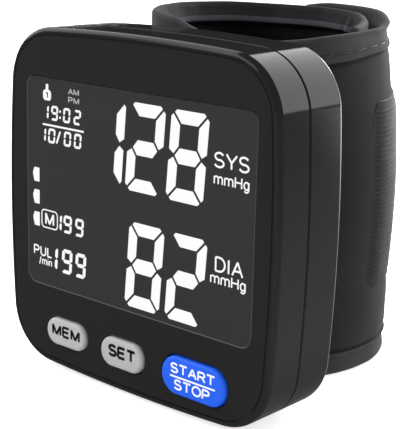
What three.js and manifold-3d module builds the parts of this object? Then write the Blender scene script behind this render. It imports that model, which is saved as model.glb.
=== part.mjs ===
// A wrist blood pressure monitor on its cuff: a moulded two-part housing with a side battery bay, a
// backlit display, three push buttons, the air train, and a cuff whose two strap ends overlap.
// Millimetres, +Z up. The display faces -Y. The origin is on the window's outer face, at mid height.

import * as THREE from 'three';
import { mergeVertices } from 'three/addons/utils/BufferGeometryUtils.js';
import Module from 'manifold-3d';

const wasm = await Module();
wasm.setup();

// Clearances shared by every piece
const seatGap = 0.1; // between two faces that rest on each other
const fitGap = 0.2; // round a piece in its pocket
const cutOverrun = 2; // how far a cutting tool reaches past what it cuts

// Housing: both covers follow one outline with bowed sides and round corners
const housingWidth = 76.4;
const housingHeight = 76;
const sideBow = 2;
const endBow = 1.5;
const housingCornerRadius = 12.5;
const frontCoverDepth = 9.4;
const rearCoverDepth = 10.4;
const frontEdgeFillet = 1.4;
const rearEdgeFillet = 0.8;
const wall = 1.8;
const backWall = 1.6;
const partingGap = 0.3;
const partingChamfer = 0.2;
const lipHeight = 1;
const lipThickness = 0.8;
const padInset = 3.9;
const padSlope = 0.6;
const padChamfer = 0.4;
const padWall = 1.2;

// Window in the front cover, with its margins to the housing's sides
const windowLeftMargin = 6.8;
const windowRightMargin = 5.9;
const windowTopMargin = 11.4;
const windowBottomMargin = 18.9;
const windowCornerRadius = 2.4;
const lensRecess = 0.3;
const lensThickness = 1;
const ledgeWidth = 1.5;
const ledgeThickness = 0.7;

// Display stack behind the window
const panelThickness = 1.6;
const backlightThickness = 1.8;
const boardThickness = 1.6;
const boardInset = 2.4;
const locatingRib = 0.8;
const locatingRibHeight = 2.6;
const connectorStripHeight = 2;
const connectorStripMargin = 4;

// Buttons, in a row under the window
const buttonRowInset = 9.2;
const smallButtonWidth = 12.7;
const smallButtonHeight = 6.5;
const memButtonX = -18.4;
const setButtonX = -1.2;
const startButtonX = 19.3;
const startButtonWidth = 18;
const startButtonHeight = 9;
const startButtonRadius = 4.2;
const buttonProud = 0.8;
const buttonFillet = 0.5;
const buttonGap = 0.25;
const flangeWidth = 1;
const flangeThickness = 0.6;
const buttonTravel = 0.4;

// Switches under the buttons
const switchSize = 6;
const plungerRadius = 1.6;
const plungerThickness = 1.5;
const switchFloor = 0.5;

// Four case screws, driven from the back into the front cover's bosses
const bossInsetX = 9.7;
const bossInsetZ = 8;
const lowRightBossInsetX = 7.7;
const lowRightBossInsetZ = 15.2;
const bossRadius = 2.6;
const bossLength = 6.8;
const columnRadius = 3.2;
const columnFloor = 4.6;
const headPocketRadius = 2.2;
const screwRadius = 1;
const screwHeadRadius = 1.9;
const screwHeadThickness = 1.2;
const screwLength = 9.6;
const screwFit = 0.15;

// Battery bay in the rear cover, with two AAA cells and a sliding door on the side
const cellRadius = 5.25;
const cellLength = 44.5;
const cellNubRadius = 1.9;
const cellNubLength = 0.9;
const cellRim = 0.4;
const cellGap = 0.3;
const bayWall = 1;
const bayEndWall = 1.2;
const contactThickness = 0.4;
const contactInset = 1.2;
const contactCornerRadius = 1;
const cellStackGaps = 5;
const springHeight = 4;
const springBaseRadius = 3.6;
const springTopRadius = 2.3;
const springWireRadius = 0.3;
const doorMargin = 0.3;
const doorReturn = 4.6;
const doorRail = 0.8;
const doorRailReach = 1.2;
const doorRailLength = 6.6;
const doorShoulder = 1.4;
const gripRibRadius = 0.35;
const gripRibLength = 9;
const gripRibPitch = 1.5;
const gripRibCount = 5;

// Air train: pump, valve, sensor and the fitting that joins them to the cuff
const airLineDepth = 3.7;
const airLineInset = 17;
const airFittingRadius = 2.2;
const barbRadius = 1.2;
const barbLength = 2.6;
const nozzleLength = 3;
const hoseWall = 0.8;
const pumpWidth = 12.8;
const pumpHeadHeight = 13;
const pumpHeadDrop = 9;
const motorRadius = 6;
const motorFlat = 5;
const motorHeight = 20;
const pumpCornerRadius = 1.2;
const valveWidth = 9;
const valveHeight = 13;
const valveDrop = 15;
const valveCoilInset = 0.8;
const valveCollarHeight = 2;
const sensorWidth = 7;
const sensorHeight = 8;
const sensorDrop = 13;
const airTrainGaps = 4;
const chipSize = 10;
const chipThickness = 1.4;
const chipInsetX = 14.7;
const chipInsetZ = 24.5;
const buzzerRadius = 4.5;
const buzzerHeight = 4;
const buzzerInsetX = 21.2;
const buzzerInsetZ = 11;
const buzzerPortRadius = 0.8;

// Cuff: a preformed sleeve on the housing, with a flap and a tongue that wrap over each other
const cuffX = -3.6;
const cuffStandOff = 0.8;
const cuffRadius = 28.3;
const cuffHeight = 75.9;
const cuffLift = 0.75;
const cuffShearShare = 0.05;
const sleeveThickness = 6.3;
const clothThickness = 1.1;
const rimThickness = 2;
const rimHeight = 5;
const crownRise = 4.6;
const formerThickness = 1.8;
const layerGap = 0.15;
const pocketMargin = 1;
const hemHeight = 7;
const lowerHemHeight = 5;
const hemStep = 0.45;
const flapThickness = 2;
const tongueThickness = 2.1;
const cutGap = 0.4;
const hookPatchThickness = 0.9;
const hookPatchHeight = 43.5;
const hookPatchLift = 1;
const hookPatchFillet = 0.35;
const hookStripThickness = 0.8;
const hookStripHeight = 48;

// Cuff screws, and the nozzle that feeds the bladder
const upperCuffScrewDrop = 13;
const lowerCuffScrewZ = -20;
const cuffScrewLength = 8;
const cuffScrewBossRadius = 2;
const cuffScrewBossLength = 4.7;
const cuffScrewFloor = 0.6;
const saddleHalfWidth = 14;
const saddleInset = 8;
const saddleRise = 4;
const saddleFlare = 2;
const saddleCornerRadius = 5;
const nozzleRadius = 2;
const nozzleBoreRadius = 0.7;
const nozzleFlangeRadius = 3.4;
const nozzleFlangeThickness = 1;

// Angles round the cuff, in degrees from its near side, growing towards the right
const rootAngle = 45;
const flapEndAngle = 204;
const hookPatchStartAngle = 92;
const hookPatchEndAngle = 150;
const hookStripStartAngle = 168;
const hookStripEndAngle = 200;
const formerAngle = 42;
const stationStepAngle = 6;

// The tongue's outer face: the angle round the cuff, and its distance from the cuff's middle as a
// share of the cuff's radius
const tongueRouteShares = [
  [-45, 1],
  [-68, 1],
  [-92, 1],
  [-118, 0.995],
  [-138, 0.965],
  [-156, 0.895],
  [-178, 0.86],
  [-203, 0.8],
  [-228, 0.74],
  [-252, 0.765],
  [-268, 0.83],
  [-279, 0.895],
];

// Fineness of curves
const cornerSteps = 8;
const bowSteps = 5;
const filletSteps = 3;
const roundSteps = 16;
const smallRoundSteps = 10;
const cellSteps = 24;
const cradleSteps = 96;
const blockCornerSteps = 2;
const springTurns = 3;
const springStepsPerTurn = 9;
const springSides = 5;
const tongueSteps = 40;
const weldDistance = 1e-5;

// Depths from the window's outer face backwards
const faceY = -lensRecess;
const ledgeY = lensThickness + seatGap;
const frontInnerY = ledgeY + ledgeThickness;
const panelY = frontInnerY + seatGap;
const backlightY = panelY + panelThickness + seatGap;
const boardY = backlightY + backlightThickness + seatGap;
const boardBackY = boardY + boardThickness;
const partingY = faceY + frontCoverDepth;
const rimY = partingY + rearCoverDepth;
const backInnerY = rimY - backWall;
const bayY = boardBackY + fitGap;
const bayInnerY = bayY + bayWall;
const cellY = bayInnerY + cellGap + cellRadius;
const padInnerY = cellY + cellRadius + fitGap;
const padY = padInnerY + backWall;
const partY = boardBackY + fitGap;
const airLineY = partY + airLineDepth;
const cuffY = padY + cuffStandOff + cuffRadius;

// Solids

function asSolid(geometry) {
  const bare = geometry.clone();
  bare.deleteAttribute('normal');
  bare.deleteAttribute('uv');
  const merged = mergeVertices(bare, weldDistance);
  const shape = new wasm.Mesh({
    numProp: 3,
    vertProperties: new Float32Array(merged.attributes.position.array),
    triVerts: new Uint32Array(merged.index.array),
  });
  return new wasm.Manifold(shape);
}

function asGeometry(solid) {
  const mesh = solid.getMesh();
  const geometry = new THREE.BufferGeometry();
  geometry.setAttribute('position', new THREE.BufferAttribute(mesh.vertProperties, mesh.numProp));
  geometry.setIndex(new THREE.BufferAttribute(mesh.triVerts, 1));
  geometry.computeVertexNormals();
  return geometry;
}

function joined(...solids) {
  return solids.reduce((sum, solid) => sum.add(solid));
}

function cut(solid, ...tools) {
  return tools.reduce((rest, tool) => rest.subtract(tool), solid);
}

// A block between two opposite corners.
function block(x0, x1, y0, y1, z0, z1) {
  const geometry = new THREE.BoxGeometry(x1 - x0, y1 - y0, z1 - z0);
  geometry.translate((x0 + x1) / 2, (y0 + y1) / 2, (z0 + z1) / 2);
  return asSolid(geometry);
}

// A round bar from one height to another along X, Y or Z, through the point given for the other two axes.
function bar(axis, radius, from, to, point, steps = roundSteps) {
  const geometry = new THREE.CylinderGeometry(radius, radius, to - from, steps);
  const middle = (from + to) / 2;
  if (axis === 'x') {
    geometry.rotateZ(Math.PI / 2).translate(middle, point[0], point[1]);
  } else if (axis === 'y') {
    geometry.translate(point[0], middle, point[1]);
  } else {
    geometry.rotateX(Math.PI / 2).translate(point[0], point[1], middle);
  }
  return asSolid(geometry);
}

// A flat plate with an outline drawn as the display's viewer sees it, between two depths.
function plate(outline, yFront, yBack) {
  const shape = new THREE.Shape(outline);
  const geometry = new THREE.ExtrudeGeometry(shape, { depth: yBack - yFront, bevelEnabled: false });
  geometry.rotateX(Math.PI / 2).translate(0, yBack, 0);
  return asSolid(geometry);
}

// A skin over rings that have the same number of points, closed by a cap at each end.
function skin(rings, capFaces) {
  const count = rings[0].length;
  const points = rings.flat();
  const faces = [];
  for (let ring = 0; ring + 1 < rings.length; ring++) {
    for (let step = 0; step < count; step++) {
      const a = ring * count + step;
      const b = ring * count + ((step + 1) % count);
      faces.push(a, b, b + count, a, b + count, a + count);
    }
  }
  const last = (rings.length - 1) * count;
  for (const [a, b, c] of capFaces) {
    faces.push(c, b, a, last + a, last + b, last + c);
  }
  let volume = 0;
  for (let face = 0; face < faces.length; face += 3) {
    const [a, b, c] = [points[faces[face]], points[faces[face + 1]], points[faces[face + 2]]];
    volume += a.dot(b.clone().cross(c));
  }
  const places = new Float32Array(points.flatMap((point) => point.toArray()));
  const geometry = new THREE.BufferGeometry();
  geometry.setAttribute('position', new THREE.BufferAttribute(places, 3));
  geometry.setIndex(volume > 0 ? faces : faces.reverse());
  return asSolid(geometry);
}

// The triangles that close an outline, wound the way the outline runs.
function capOf(outline) {
  const faces = THREE.ShapeUtils.triangulateShape(outline, []);
  return THREE.ShapeUtils.isClockWise(outline) ? faces.map(([a, b, c]) => [c, b, a]) : faces;
}

// A skin over flat rings, each an outline at its depth.
function loft(outlines) {
  const rings = outlines.map(([y, outline]) => outline.map((p) => new THREE.Vector3(p.x, y, p.y)));
  return skin(rings, capOf(outlines[0][1]));
}

// The depth and inset pairs of a quarter round.
function quarterRound(radius) {
  const pairs = [];
  for (let step = 0; step <= filletSteps; step++) {
    const angle = (Math.PI / 2) * (step / filletSteps);
    pairs.push([radius * (1 - Math.cos(angle)), radius * (1 - Math.sin(angle))]);
  }
  return pairs;
}

// Outlines

function arcPoints(centre, radius, from, to, steps) {
  const points = [];
  for (let step = 0; step < steps; step++) {
    const angle = from + ((to - from) * step) / steps;
    const x = centre[0] + radius * Math.cos(angle);
    const y = centre[1] + radius * Math.sin(angle);
    points.push(new THREE.Vector2(x, y));
  }
  return points;
}

// The housing's outline, inset evenly: four shallow bows joined by corner arcs tangent to them.
function housingOutline(inset) {
  const halfWidth = housingWidth / 2;
  const halfHeight = housingHeight / 2;
  const sideRadius = (halfHeight ** 2 + sideBow ** 2) / (2 * sideBow);
  const endRadius = (halfWidth ** 2 + endBow ** 2) / (2 * endBow);
  const sideCentre = halfWidth - sideRadius;
  const endCentre = halfHeight - endRadius;
  const toSide = sideRadius - housingCornerRadius;
  const toEnd = endRadius - housingCornerRadius;
  const apart = Math.hypot(sideCentre, endCentre);
  const along = (toSide ** 2 - toEnd ** 2 + apart ** 2) / (2 * apart);
  const across = Math.sqrt(toSide ** 2 - along ** 2);
  const unit = [-sideCentre / apart, endCentre / apart];
  const cornerX = sideCentre + unit[0] * along - unit[1] * across;
  const cornerZ = unit[1] * along + unit[0] * across;
  const sideAngle = Math.atan2(cornerZ, cornerX - sideCentre);
  const endAngle = Math.atan2(cornerZ - endCentre, cornerX);
  const points = [];
  for (let quarter = 0; quarter < 2; quarter++) {
    const side = quarter ? -1 : 1;
    const turn = quarter * Math.PI;
    const corner = [side * cornerX, side * cornerZ];
    const nextCorner = [-side * cornerX, side * cornerZ];
    const sideEnd = turn + sideAngle;
    const endStart = turn + endAngle;
    const endEnd = turn + Math.PI - endAngle;
    const nextSide = turn + Math.PI - sideAngle;
    points.push(
      ...arcPoints([side * sideCentre, 0], sideRadius - inset, turn - sideAngle, sideEnd, bowSteps),
      ...arcPoints(corner, housingCornerRadius - inset, sideEnd, endStart, cornerSteps),
      ...arcPoints([0, side * endCentre], endRadius - inset, endStart, endEnd, bowSteps),
      ...arcPoints(nextCorner, housingCornerRadius - inset, endEnd, nextSide, cornerSteps),
    );
  }
  return points;
}

// A rectangle with round corners about a centre.
function roundedRectangle(x, z, width, height, radius, steps = cornerSteps) {
  const right = width / 2 - radius;
  const top = height / 2 - radius;
  const corners = [
    [right, top],
    [-right, top],
    [-right, -top],
    [right, -top],
  ];
  return corners.flatMap(([dx, dz], quarter) => {
    const start = (quarter * Math.PI) / 2;
    const arc = arcPoints([x + dx, z + dz], radius, start, start + Math.PI / 2, steps);
    const end = start + Math.PI / 2;
    arc.push(new THREE.Vector2(x + dx + radius * Math.cos(end), z + dz + radius * Math.sin(end)));
    return arc;
  });
}

// Places that several pieces share

const right = housingWidth / 2;
const top = housingHeight / 2;
const bosses = [
  [right - bossInsetX, top - bossInsetZ],
  [-right + bossInsetX, top - bossInsetZ],
  [-right + bossInsetX, -top + bossInsetZ],
  [right - lowRightBossInsetX, -top + lowRightBossInsetZ],
];
const bossEndY = frontInnerY + bossLength;
const columnY = bossEndY + fitGap;
const screwSeatY = columnY + columnFloor;
const lipInset = wall - lipThickness;

const windowWidth = housingWidth - windowLeftMargin - windowRightMargin;
const windowHeight = housingHeight - windowTopMargin - windowBottomMargin;
const windowX = (windowLeftMargin - windowRightMargin) / 2;
const windowZ = (windowBottomMargin - windowTopMargin) / 2;

const cellX = [-right + wall + sideBow + fitGap + cellRadius];
cellX.push(cellX[0] + 2 * cellRadius + cellGap);
const bayHalfHeight = (cellLength + springHeight + 2 * contactThickness + cellStackGaps * seatGap) / 2;
const bayLeft = cellX[0] - cellRadius + wall;
const bayRight = cellX[1] + cellRadius + cellGap;
const contactZ = bayHalfHeight - seatGap - contactThickness;
const doorX = -right + doorReturn;
const doorHalfHeight = bayHalfHeight + doorMargin;

const buttonRowZ = -top + buttonRowInset;
const smallButton = { width: smallButtonWidth, height: smallButtonHeight, radius: smallButtonHeight / 2 };
const startButton = { width: startButtonWidth, height: startButtonHeight, radius: startButtonRadius };
const buttons = [
  { name: 'mem', x: memButtonX, ...smallButton },
  { name: 'set', x: setButtonX, ...smallButton },
  { name: 'start_stop', x: startButtonX, ...startButton },
];
const flangeY = frontInnerY + seatGap;
const plungerY = flangeY + flangeThickness + seatGap;
const switchY = plungerY + buttonTravel + seatGap;
const switchBackY = boardY - seatGap;

// The pump, valve and sensor stand in a row from the cuff's screw bosses to the side wall, with one
// share of the room left between two parts and two shares at the wall.
const pumpLeft = cuffX + cuffScrewBossRadius + 2 * fitGap;
const airTrainRoom = right - wall - pumpLeft - pumpWidth - valveWidth - sensorWidth;
const partSpacing = airTrainRoom / airTrainGaps;
const pumpX = pumpLeft + pumpWidth / 2;
const valveX = pumpX + pumpWidth / 2 + partSpacing + valveWidth / 2;
const sensorX = valveX + valveWidth / 2 + partSpacing + sensorWidth / 2;
const airLineZ = top - airLineInset;
const pumpHeadTopZ = airLineZ - pumpHeadDrop;
const valveTopZ = airLineZ - valveDrop;
const sensorTopZ = airLineZ - sensorDrop;
const chipAt = [right - chipInsetX, -top + chipInsetZ];
const buzzerAt = [right - buzzerInsetX, -top + buzzerInsetZ];
const fittingBottomZ = airLineZ - airFittingRadius;
const hoseBore = barbRadius + fitGap;
const sleeveOuterY = cuffY - cuffRadius;
const formerOuterRadius = cuffRadius - clothThickness - layerGap;
const formerInnerRadius = formerOuterRadius - formerThickness;
const bladderOuterRadius = formerInnerRadius - layerGap;
const bladderInnerRadius = cuffRadius - sleeveThickness + clothThickness + layerGap;
const nozzleFlangeBackY = padInnerY - seatGap;
const nozzleFlangeY = nozzleFlangeBackY - nozzleFlangeThickness;
const cuffScrewHeadY = cuffY - formerOuterRadius + cuffScrewFloor;
const cuffScrewZ = [airLineZ - upperCuffScrewDrop, lowerCuffScrewZ];
const saddleHalfHeight = top - saddleInset;

// Housing pieces

function frontCover() {
  const edge = partingY - partingGap / 2;
  const outside = quarterRound(frontEdgeFillet).map(([depth, inset]) => [
    faceY + depth,
    housingOutline(inset),
  ]);
  outside.push([edge - partingChamfer, housingOutline(0)], [edge, housingOutline(partingChamfer)]);
  const lip = plate(housingOutline(lipInset), edge - partingChamfer, partingY + lipHeight);
  const around = (margin, radius, steps = blockCornerSteps) =>
    roundedRectangle(windowX, windowZ, windowWidth + 2 * margin, windowHeight + 2 * margin, radius, steps);
  const ribMargin = fitGap + locatingRib;
  const rib = cut(
    plate(around(ribMargin, ribMargin), frontInnerY - seatGap, frontInnerY + locatingRibHeight),
    plate(around(fitGap, fitGap), frontInnerY - cutOverrun, frontInnerY + locatingRibHeight + cutOverrun),
  );
  const posts = bosses.map((boss) => bar('y', bossRadius, frontInnerY - seatGap, bossEndY, boss));
  const cavity = plate(housingOutline(wall), frontInnerY, partingY + lipHeight + cutOverrun);
  const pocketOutline = around(fitGap, windowCornerRadius + fitGap, cornerSteps);
  const lensPocket = plate(pocketOutline, faceY - cutOverrun, ledgeY);
  const opening = plate(
    around(-ledgeWidth, windowCornerRadius - ledgeWidth),
    faceY - cutOverrun,
    frontInnerY + cutOverrun,
  );
  const wells = buttons.map(({ x, width, height, radius }) => {
    const outline = roundedRectangle(
      x,
      buttonRowZ,
      width + 2 * buttonGap,
      height + 2 * buttonGap,
      radius + buttonGap,
    );
    return plate(outline, faceY - cutOverrun, frontInnerY + cutOverrun);
  });
  const pilotY = screwSeatY - screwLength - fitGap;
  const pilots = bosses.map((boss) =>
    bar('y', screwRadius + screwFit, pilotY, bossEndY + cutOverrun, boss, smallRoundSteps),
  );
  const shell = cut(joined(loft(outside), lip), cavity);
  return cut(joined(shell, rib, ...posts), lensPocket, opening, ...wells, ...pilots);
}

// The rear cover's walls alone, before the door is parted from them.
function rearShell() {
  const edge = partingY + partingGap / 2;
  const outside = [
    [edge, housingOutline(partingChamfer)],
    [edge + partingChamfer, housingOutline(0)],
  ];
  const rimRound = quarterRound(rearEdgeFillet).reverse();
  outside.push(...rimRound.map(([depth, inset]) => [rimY - depth, housingOutline(inset)]));
  outside.push([rimY, housingOutline(padInset - padSlope)]);
  outside.push([padY - padChamfer, housingOutline(padInset)], [padY, housingOutline(padInset + padChamfer)]);
  return cut(
    loft(outside),
    plate(housingOutline(wall), partingY - cutOverrun, backInnerY),
    plate(housingOutline(padInset + padWall), partingY - cutOverrun, padInnerY),
    plate(housingOutline(lipInset - fitGap), partingY - cutOverrun, partingY + lipHeight + fitGap),
  );
}

function doorCutter(gap) {
  const height = doorHalfHeight - gap;
  return block(-right - cutOverrun, doorX - gap, partingY - cutOverrun, padY + cutOverrun, -height, height);
}

// The slots that let the door's rails leave through the back.
function railSlots() {
  const inner = doorHalfHeight - doorShoulder - 2 * fitGap;
  const outer = doorHalfHeight + doorRailReach + fitGap;
  return [1, -1].map((side) =>
    block(
      doorX - doorRail,
      doorX + doorRail,
      backInnerY - cutOverrun,
      padY + cutOverrun,
      Math.min(side * inner, side * outer),
      Math.max(side * inner, side * outer),
    ),
  );
}

// The raised seat on the back, hollowed to the cuff's curve.
function cuffSaddle() {
  const outline = (reach) =>
    roundedRectangle(
      cuffX,
      0,
      2 * (saddleHalfWidth + reach),
      2 * (saddleHalfHeight + reach),
      saddleCornerRadius + reach,
    );
  const seat = loft([
    [padY - seatGap, outline(saddleFlare)],
    [padY + saddleRise, outline(0)],
  ]);
  return cut(seat, bar('z', cuffRadius + fitGap, -housingHeight, housingHeight, [cuffX, cuffY], cradleSteps));
}

function rearCover() {
  const half = bayHalfHeight;
  const outerHalf = half + bayEndWall;
  const bay = block(bayLeft, bayRight + bayWall, bayY, backInnerY + seatGap, -outerHalf, outerHalf);
  const bayHollow = block(bayLeft - cutOverrun, bayRight, bayInnerY, backInnerY, -half, half);
  const cellRoom = block(bayLeft, bayRight, backInnerY - cutOverrun, padInnerY, -half, half);
  const columns = bosses.map((boss) => bar('y', columnRadius, columnY, padInnerY + seatGap, boss));
  const cuffBosses = cuffScrewZ.map((z) =>
    bar('y', cuffScrewBossRadius, padInnerY - cuffScrewBossLength, padInnerY + seatGap, [cuffX, z]),
  );
  const headPockets = bosses.map((boss) => bar('y', headPocketRadius, screwSeatY, padY + cutOverrun, boss));
  const shankHoles = bosses.map((boss) =>
    bar('y', screwRadius + screwFit, columnY - cutOverrun, padY, boss, smallRoundSteps),
  );
  const cuffPilots = cuffScrewZ.map((z) =>
    bar(
      'y',
      screwRadius + screwFit,
      cuffScrewHeadY - cuffScrewLength - fitGap,
      padY + saddleRise + cutOverrun,
      [cuffX, z],
      smallRoundSteps,
    ),
  );
  const nozzleHole = bar('y', nozzleRadius + fitGap, padInnerY - cutOverrun, padY + saddleRise + cutOverrun, [
    cuffX,
    airLineZ,
  ]);
  const shell = cut(rearShell(), doorCutter(0), ...railSlots());
  const walls = cut(joined(shell, bay, ...columns), bayHollow, cellRoom);
  return cut(
    joined(walls, cuffSaddle(), ...cuffBosses),
    ...headPockets,
    ...shankHoles,
    ...cuffPilots,
    nozzleHole,
  );
}

// A piece of the rear cover's wall, with rails that run behind the wall above and below it.
function batteryDoor() {
  const panel = rearShell().intersect(doorCutter(fitGap));
  const railX = doorX - doorRail + fitGap;
  const inner = doorHalfHeight - doorShoulder - fitGap;
  const rails = [1, -1].map((side) => {
    const shoulderEnd = side * (doorHalfHeight - 2 * fitGap);
    const railEnd = side * (doorHalfHeight + doorRailReach);
    const start = side * inner;
    const y0 = backInnerY - doorRailLength;
    const shoulder = block(
      railX - doorRail,
      railX + doorRail,
      y0,
      backInnerY + seatGap,
      Math.min(start, shoulderEnd),
      Math.max(start, shoulderEnd),
    );
    const rail = block(
      railX,
      railX + doorRail,
      y0,
      backInnerY - fitGap,
      Math.min(start, railEnd),
      Math.max(start, railEnd),
    );
    return joined(shoulder, rail);
  });
  const firstGripY = (partingY + rimY - (gripRibCount - 1) * gripRibPitch) / 2;
  const grips = [];
  for (let rib = 0; rib < gripRibCount; rib++) {
    const at = [-right, firstGripY + rib * gripRibPitch];
    grips.push(bar('z', gripRibRadius, -gripRibLength / 2, gripRibLength / 2, at, smallRoundSteps));
  }
  return joined(panel, ...rails, ...grips);
}

function caseScrew(boss) {
  const headY = screwSeatY + seatGap;
  const shankEndY = headY + screwHeadThickness / 2;
  return joined(
    bar('y', screwRadius, screwSeatY - screwLength, shankEndY, boss, smallRoundSteps),
    bar('y', screwHeadRadius, headY, headY + screwHeadThickness, boss),
  );
}

// Display and buttons

function displayWindow() {
  return plate(
    roundedRectangle(windowX, windowZ, windowWidth, windowHeight, windowCornerRadius),
    0,
    lensThickness,
  );
}

function displayPanel() {
  return plate(
    roundedRectangle(windowX, windowZ, windowWidth, windowHeight, fitGap, blockCornerSteps),
    panelY,
    panelY + panelThickness,
  );
}

function backlight() {
  const height = windowHeight - connectorStripHeight - 2 * fitGap;
  const middleZ = windowZ + (windowHeight - height) / 2;
  return plate(
    roundedRectangle(windowX, middleZ, windowWidth, height, fitGap, blockCornerSteps),
    backlightY,
    backlightY + backlightThickness,
  );
}

// The rubber strip that joins the panel's lower edge to the board.
function connectorStrip() {
  const halfWidth = windowWidth / 2 - connectorStripMargin;
  const bottom = windowZ - windowHeight / 2;
  return block(
    windowX - halfWidth,
    windowX + halfWidth,
    backlightY,
    backlightY + backlightThickness,
    bottom,
    bottom + connectorStripHeight,
  );
}

function circuitBoard() {
  const holes = bosses.map((boss) =>
    bar('y', bossRadius + fitGap, boardY - cutOverrun, boardBackY + cutOverrun, boss),
  );
  return cut(plate(housingOutline(boardInset), boardY, boardBackY), ...holes);
}

// A moulded cap with a rounded top edge, and a wider flange that stops it behind the cover.
function buttonCap({ x, width, height, radius }) {
  const outline = (inset) =>
    roundedRectangle(x, buttonRowZ, width - 2 * inset, height - 2 * inset, radius - inset);
  const capY = faceY - buttonProud;
  const rings = quarterRound(buttonFillet).map(([depth, inset]) => [capY + depth, outline(inset)]);
  rings.push(
    [flangeY, outline(0)],
    [flangeY, outline(-flangeWidth)],
    [flangeY + flangeThickness, outline(-flangeWidth)],
  );
  return loft(rings);
}

function switchBody({ x }) {
  const half = switchSize / 2;
  const body = block(x - half, x + half, switchY, switchBackY, buttonRowZ - half, buttonRowZ + half);
  const floorY = switchBackY - switchFloor;
  const well = bar('y', plungerRadius + fitGap, switchY - cutOverrun, floorY, [x, buttonRowZ]);
  return cut(body, well);
}

function switchPlunger({ x }) {
  return bar('y', plungerRadius, plungerY, plungerY + plungerThickness, [x, buttonRowZ]);
}

// Cells and contacts

// An AAA cell standing in the bay, its positive nub up or down.
function cell(x, up) {
  const bodyLength = cellLength - cellNubLength;
  const profile = [
    new THREE.Vector2(0, 0),
    new THREE.Vector2(cellRadius - cellRim, 0),
    new THREE.Vector2(cellRadius, cellRim),
    new THREE.Vector2(cellRadius, bodyLength - cellRim),
    new THREE.Vector2(cellRadius - cellRim, bodyLength),
    new THREE.Vector2(cellNubRadius, bodyLength),
    new THREE.Vector2(cellNubRadius, cellLength),
    new THREE.Vector2(0, cellLength),
  ];
  const geometry = new THREE.LatheGeometry(profile, cellSteps);
  geometry.rotateX(up ? Math.PI / 2 : -Math.PI / 2);
  const nubTip = contactZ - seatGap;
  geometry.translate(x, cellY, up ? nubTip - cellLength : cellLength - nubTip);
  return asSolid(geometry);
}

function contactPlate(fromX, toX, side) {
  const width = toX - fromX;
  const depth = padInnerY - bayInnerY - 2 * contactInset;
  const outline = roundedRectangle(0, 0, width, depth, contactCornerRadius, blockCornerSteps);
  const geometry = new THREE.ExtrudeGeometry(new THREE.Shape(outline), {
    depth: contactThickness,
    bevelEnabled: false,
  });
  const z = side > 0 ? contactZ : -contactZ - contactThickness;
  geometry.translate((fromX + toX) / 2, (bayInnerY + padInnerY) / 2, z);
  return asSolid(geometry);
}

class SpringCurve extends THREE.Curve {
  constructor(x, y, baseZ, side) {
    super();
    Object.assign(this, { x, y, baseZ, side });
  }

  getPoint(share, target = new THREE.Vector3()) {
    const angle = share * springTurns * 2 * Math.PI;
    const radius = springBaseRadius + (springTopRadius - springBaseRadius) * share;
    const run = springHeight - 2 * seatGap - 2 * springWireRadius;
    const rise = seatGap + springWireRadius + run * share;
    return target.set(
      this.x + radius * Math.cos(angle),
      this.y + radius * Math.sin(angle),
      this.baseZ + this.side * rise,
    );
  }
}

// A conical spring that stands on a contact plate and presses on a cell's flat end.
function batterySpring(x, side) {
  const wire = new THREE.Shape(arcPoints([0, 0], springWireRadius, 0, 2 * Math.PI, springSides));
  const geometry = new THREE.ExtrudeGeometry(wire, {
    steps: springTurns * springStepsPerTurn,
    bevelEnabled: false,
    extrudePath: new SpringCurve(x, cellY, side * contactZ, -side),
  });
  return asSolid(geometry);
}

// The least gap between neighbouring turns, measured on points along the wire.
function springClearance() {
  const curve = new SpringCurve(0, 0, 0, 1);
  const count = springTurns * springStepsPerTurn;
  const points = curve.getPoints(count);
  let least = Infinity;
  for (let first = 0; first < count; first++) {
    for (let second = first + springStepsPerTurn - 1; second <= count; second++) {
      least = Math.min(least, points[first].distanceTo(points[second]));
    }
  }
  return least - 2 * springWireRadius;
}

// Air train

function roundedColumn(x, yFront, yBack, width, z0, z1, radius) {
  const y = (yFront + yBack) / 2;
  const outline = roundedRectangle(x, -y, width, yBack - yFront, radius, blockCornerSteps);
  const geometry = new THREE.ExtrudeGeometry(new THREE.Shape(outline), {
    depth: z1 - z0,
    bevelEnabled: false,
  });
  geometry.rotateX(Math.PI).translate(0, 0, z1);
  return asSolid(geometry);
}

function pumpHead() {
  const body = roundedColumn(
    pumpX,
    partY + fitGap,
    padInnerY - 2 * fitGap,
    pumpWidth,
    pumpHeadTopZ - pumpHeadHeight,
    pumpHeadTopZ,
    pumpCornerRadius,
  );
  const outlet = bar('z', barbRadius, pumpHeadTopZ - seatGap, pumpHeadTopZ + nozzleLength, [pumpX, airLineY]);
  return joined(body, outlet);
}

function pumpMotor() {
  const topZ = pumpHeadTopZ - pumpHeadHeight - fitGap;
  const y = (partY + padInnerY) / 2;
  const can = bar('z', motorRadius, topZ - motorHeight, topZ, [pumpX, y]);
  const flats = block(
    pumpX - motorRadius,
    pumpX + motorRadius,
    y - motorFlat,
    y + motorFlat,
    topZ - motorHeight - cutOverrun,
    topZ + cutOverrun,
  );
  return can.intersect(flats);
}

// A solenoid valve: a coil between two square end plates, with its nozzle on top.
function exhaustValve() {
  const bottomZ = valveTopZ - valveHeight;
  const backY = partY + valveWidth;
  const plates = [
    roundedColumn(valveX, partY, backY, valveWidth, bottomZ, bottomZ + valveCollarHeight, fitGap),
    roundedColumn(valveX, partY, backY, valveWidth, valveTopZ - valveCollarHeight, valveTopZ, fitGap),
  ];
  const coilRadius = valveWidth / 2 - valveCoilInset;
  const coil = bar('z', coilRadius, bottomZ + seatGap, valveTopZ - seatGap, [valveX, partY + valveWidth / 2]);
  const nozzle = bar('z', barbRadius, valveTopZ - seatGap, valveTopZ + nozzleLength, [valveX, airLineY]);
  return joined(coil, ...plates, nozzle);
}

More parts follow.
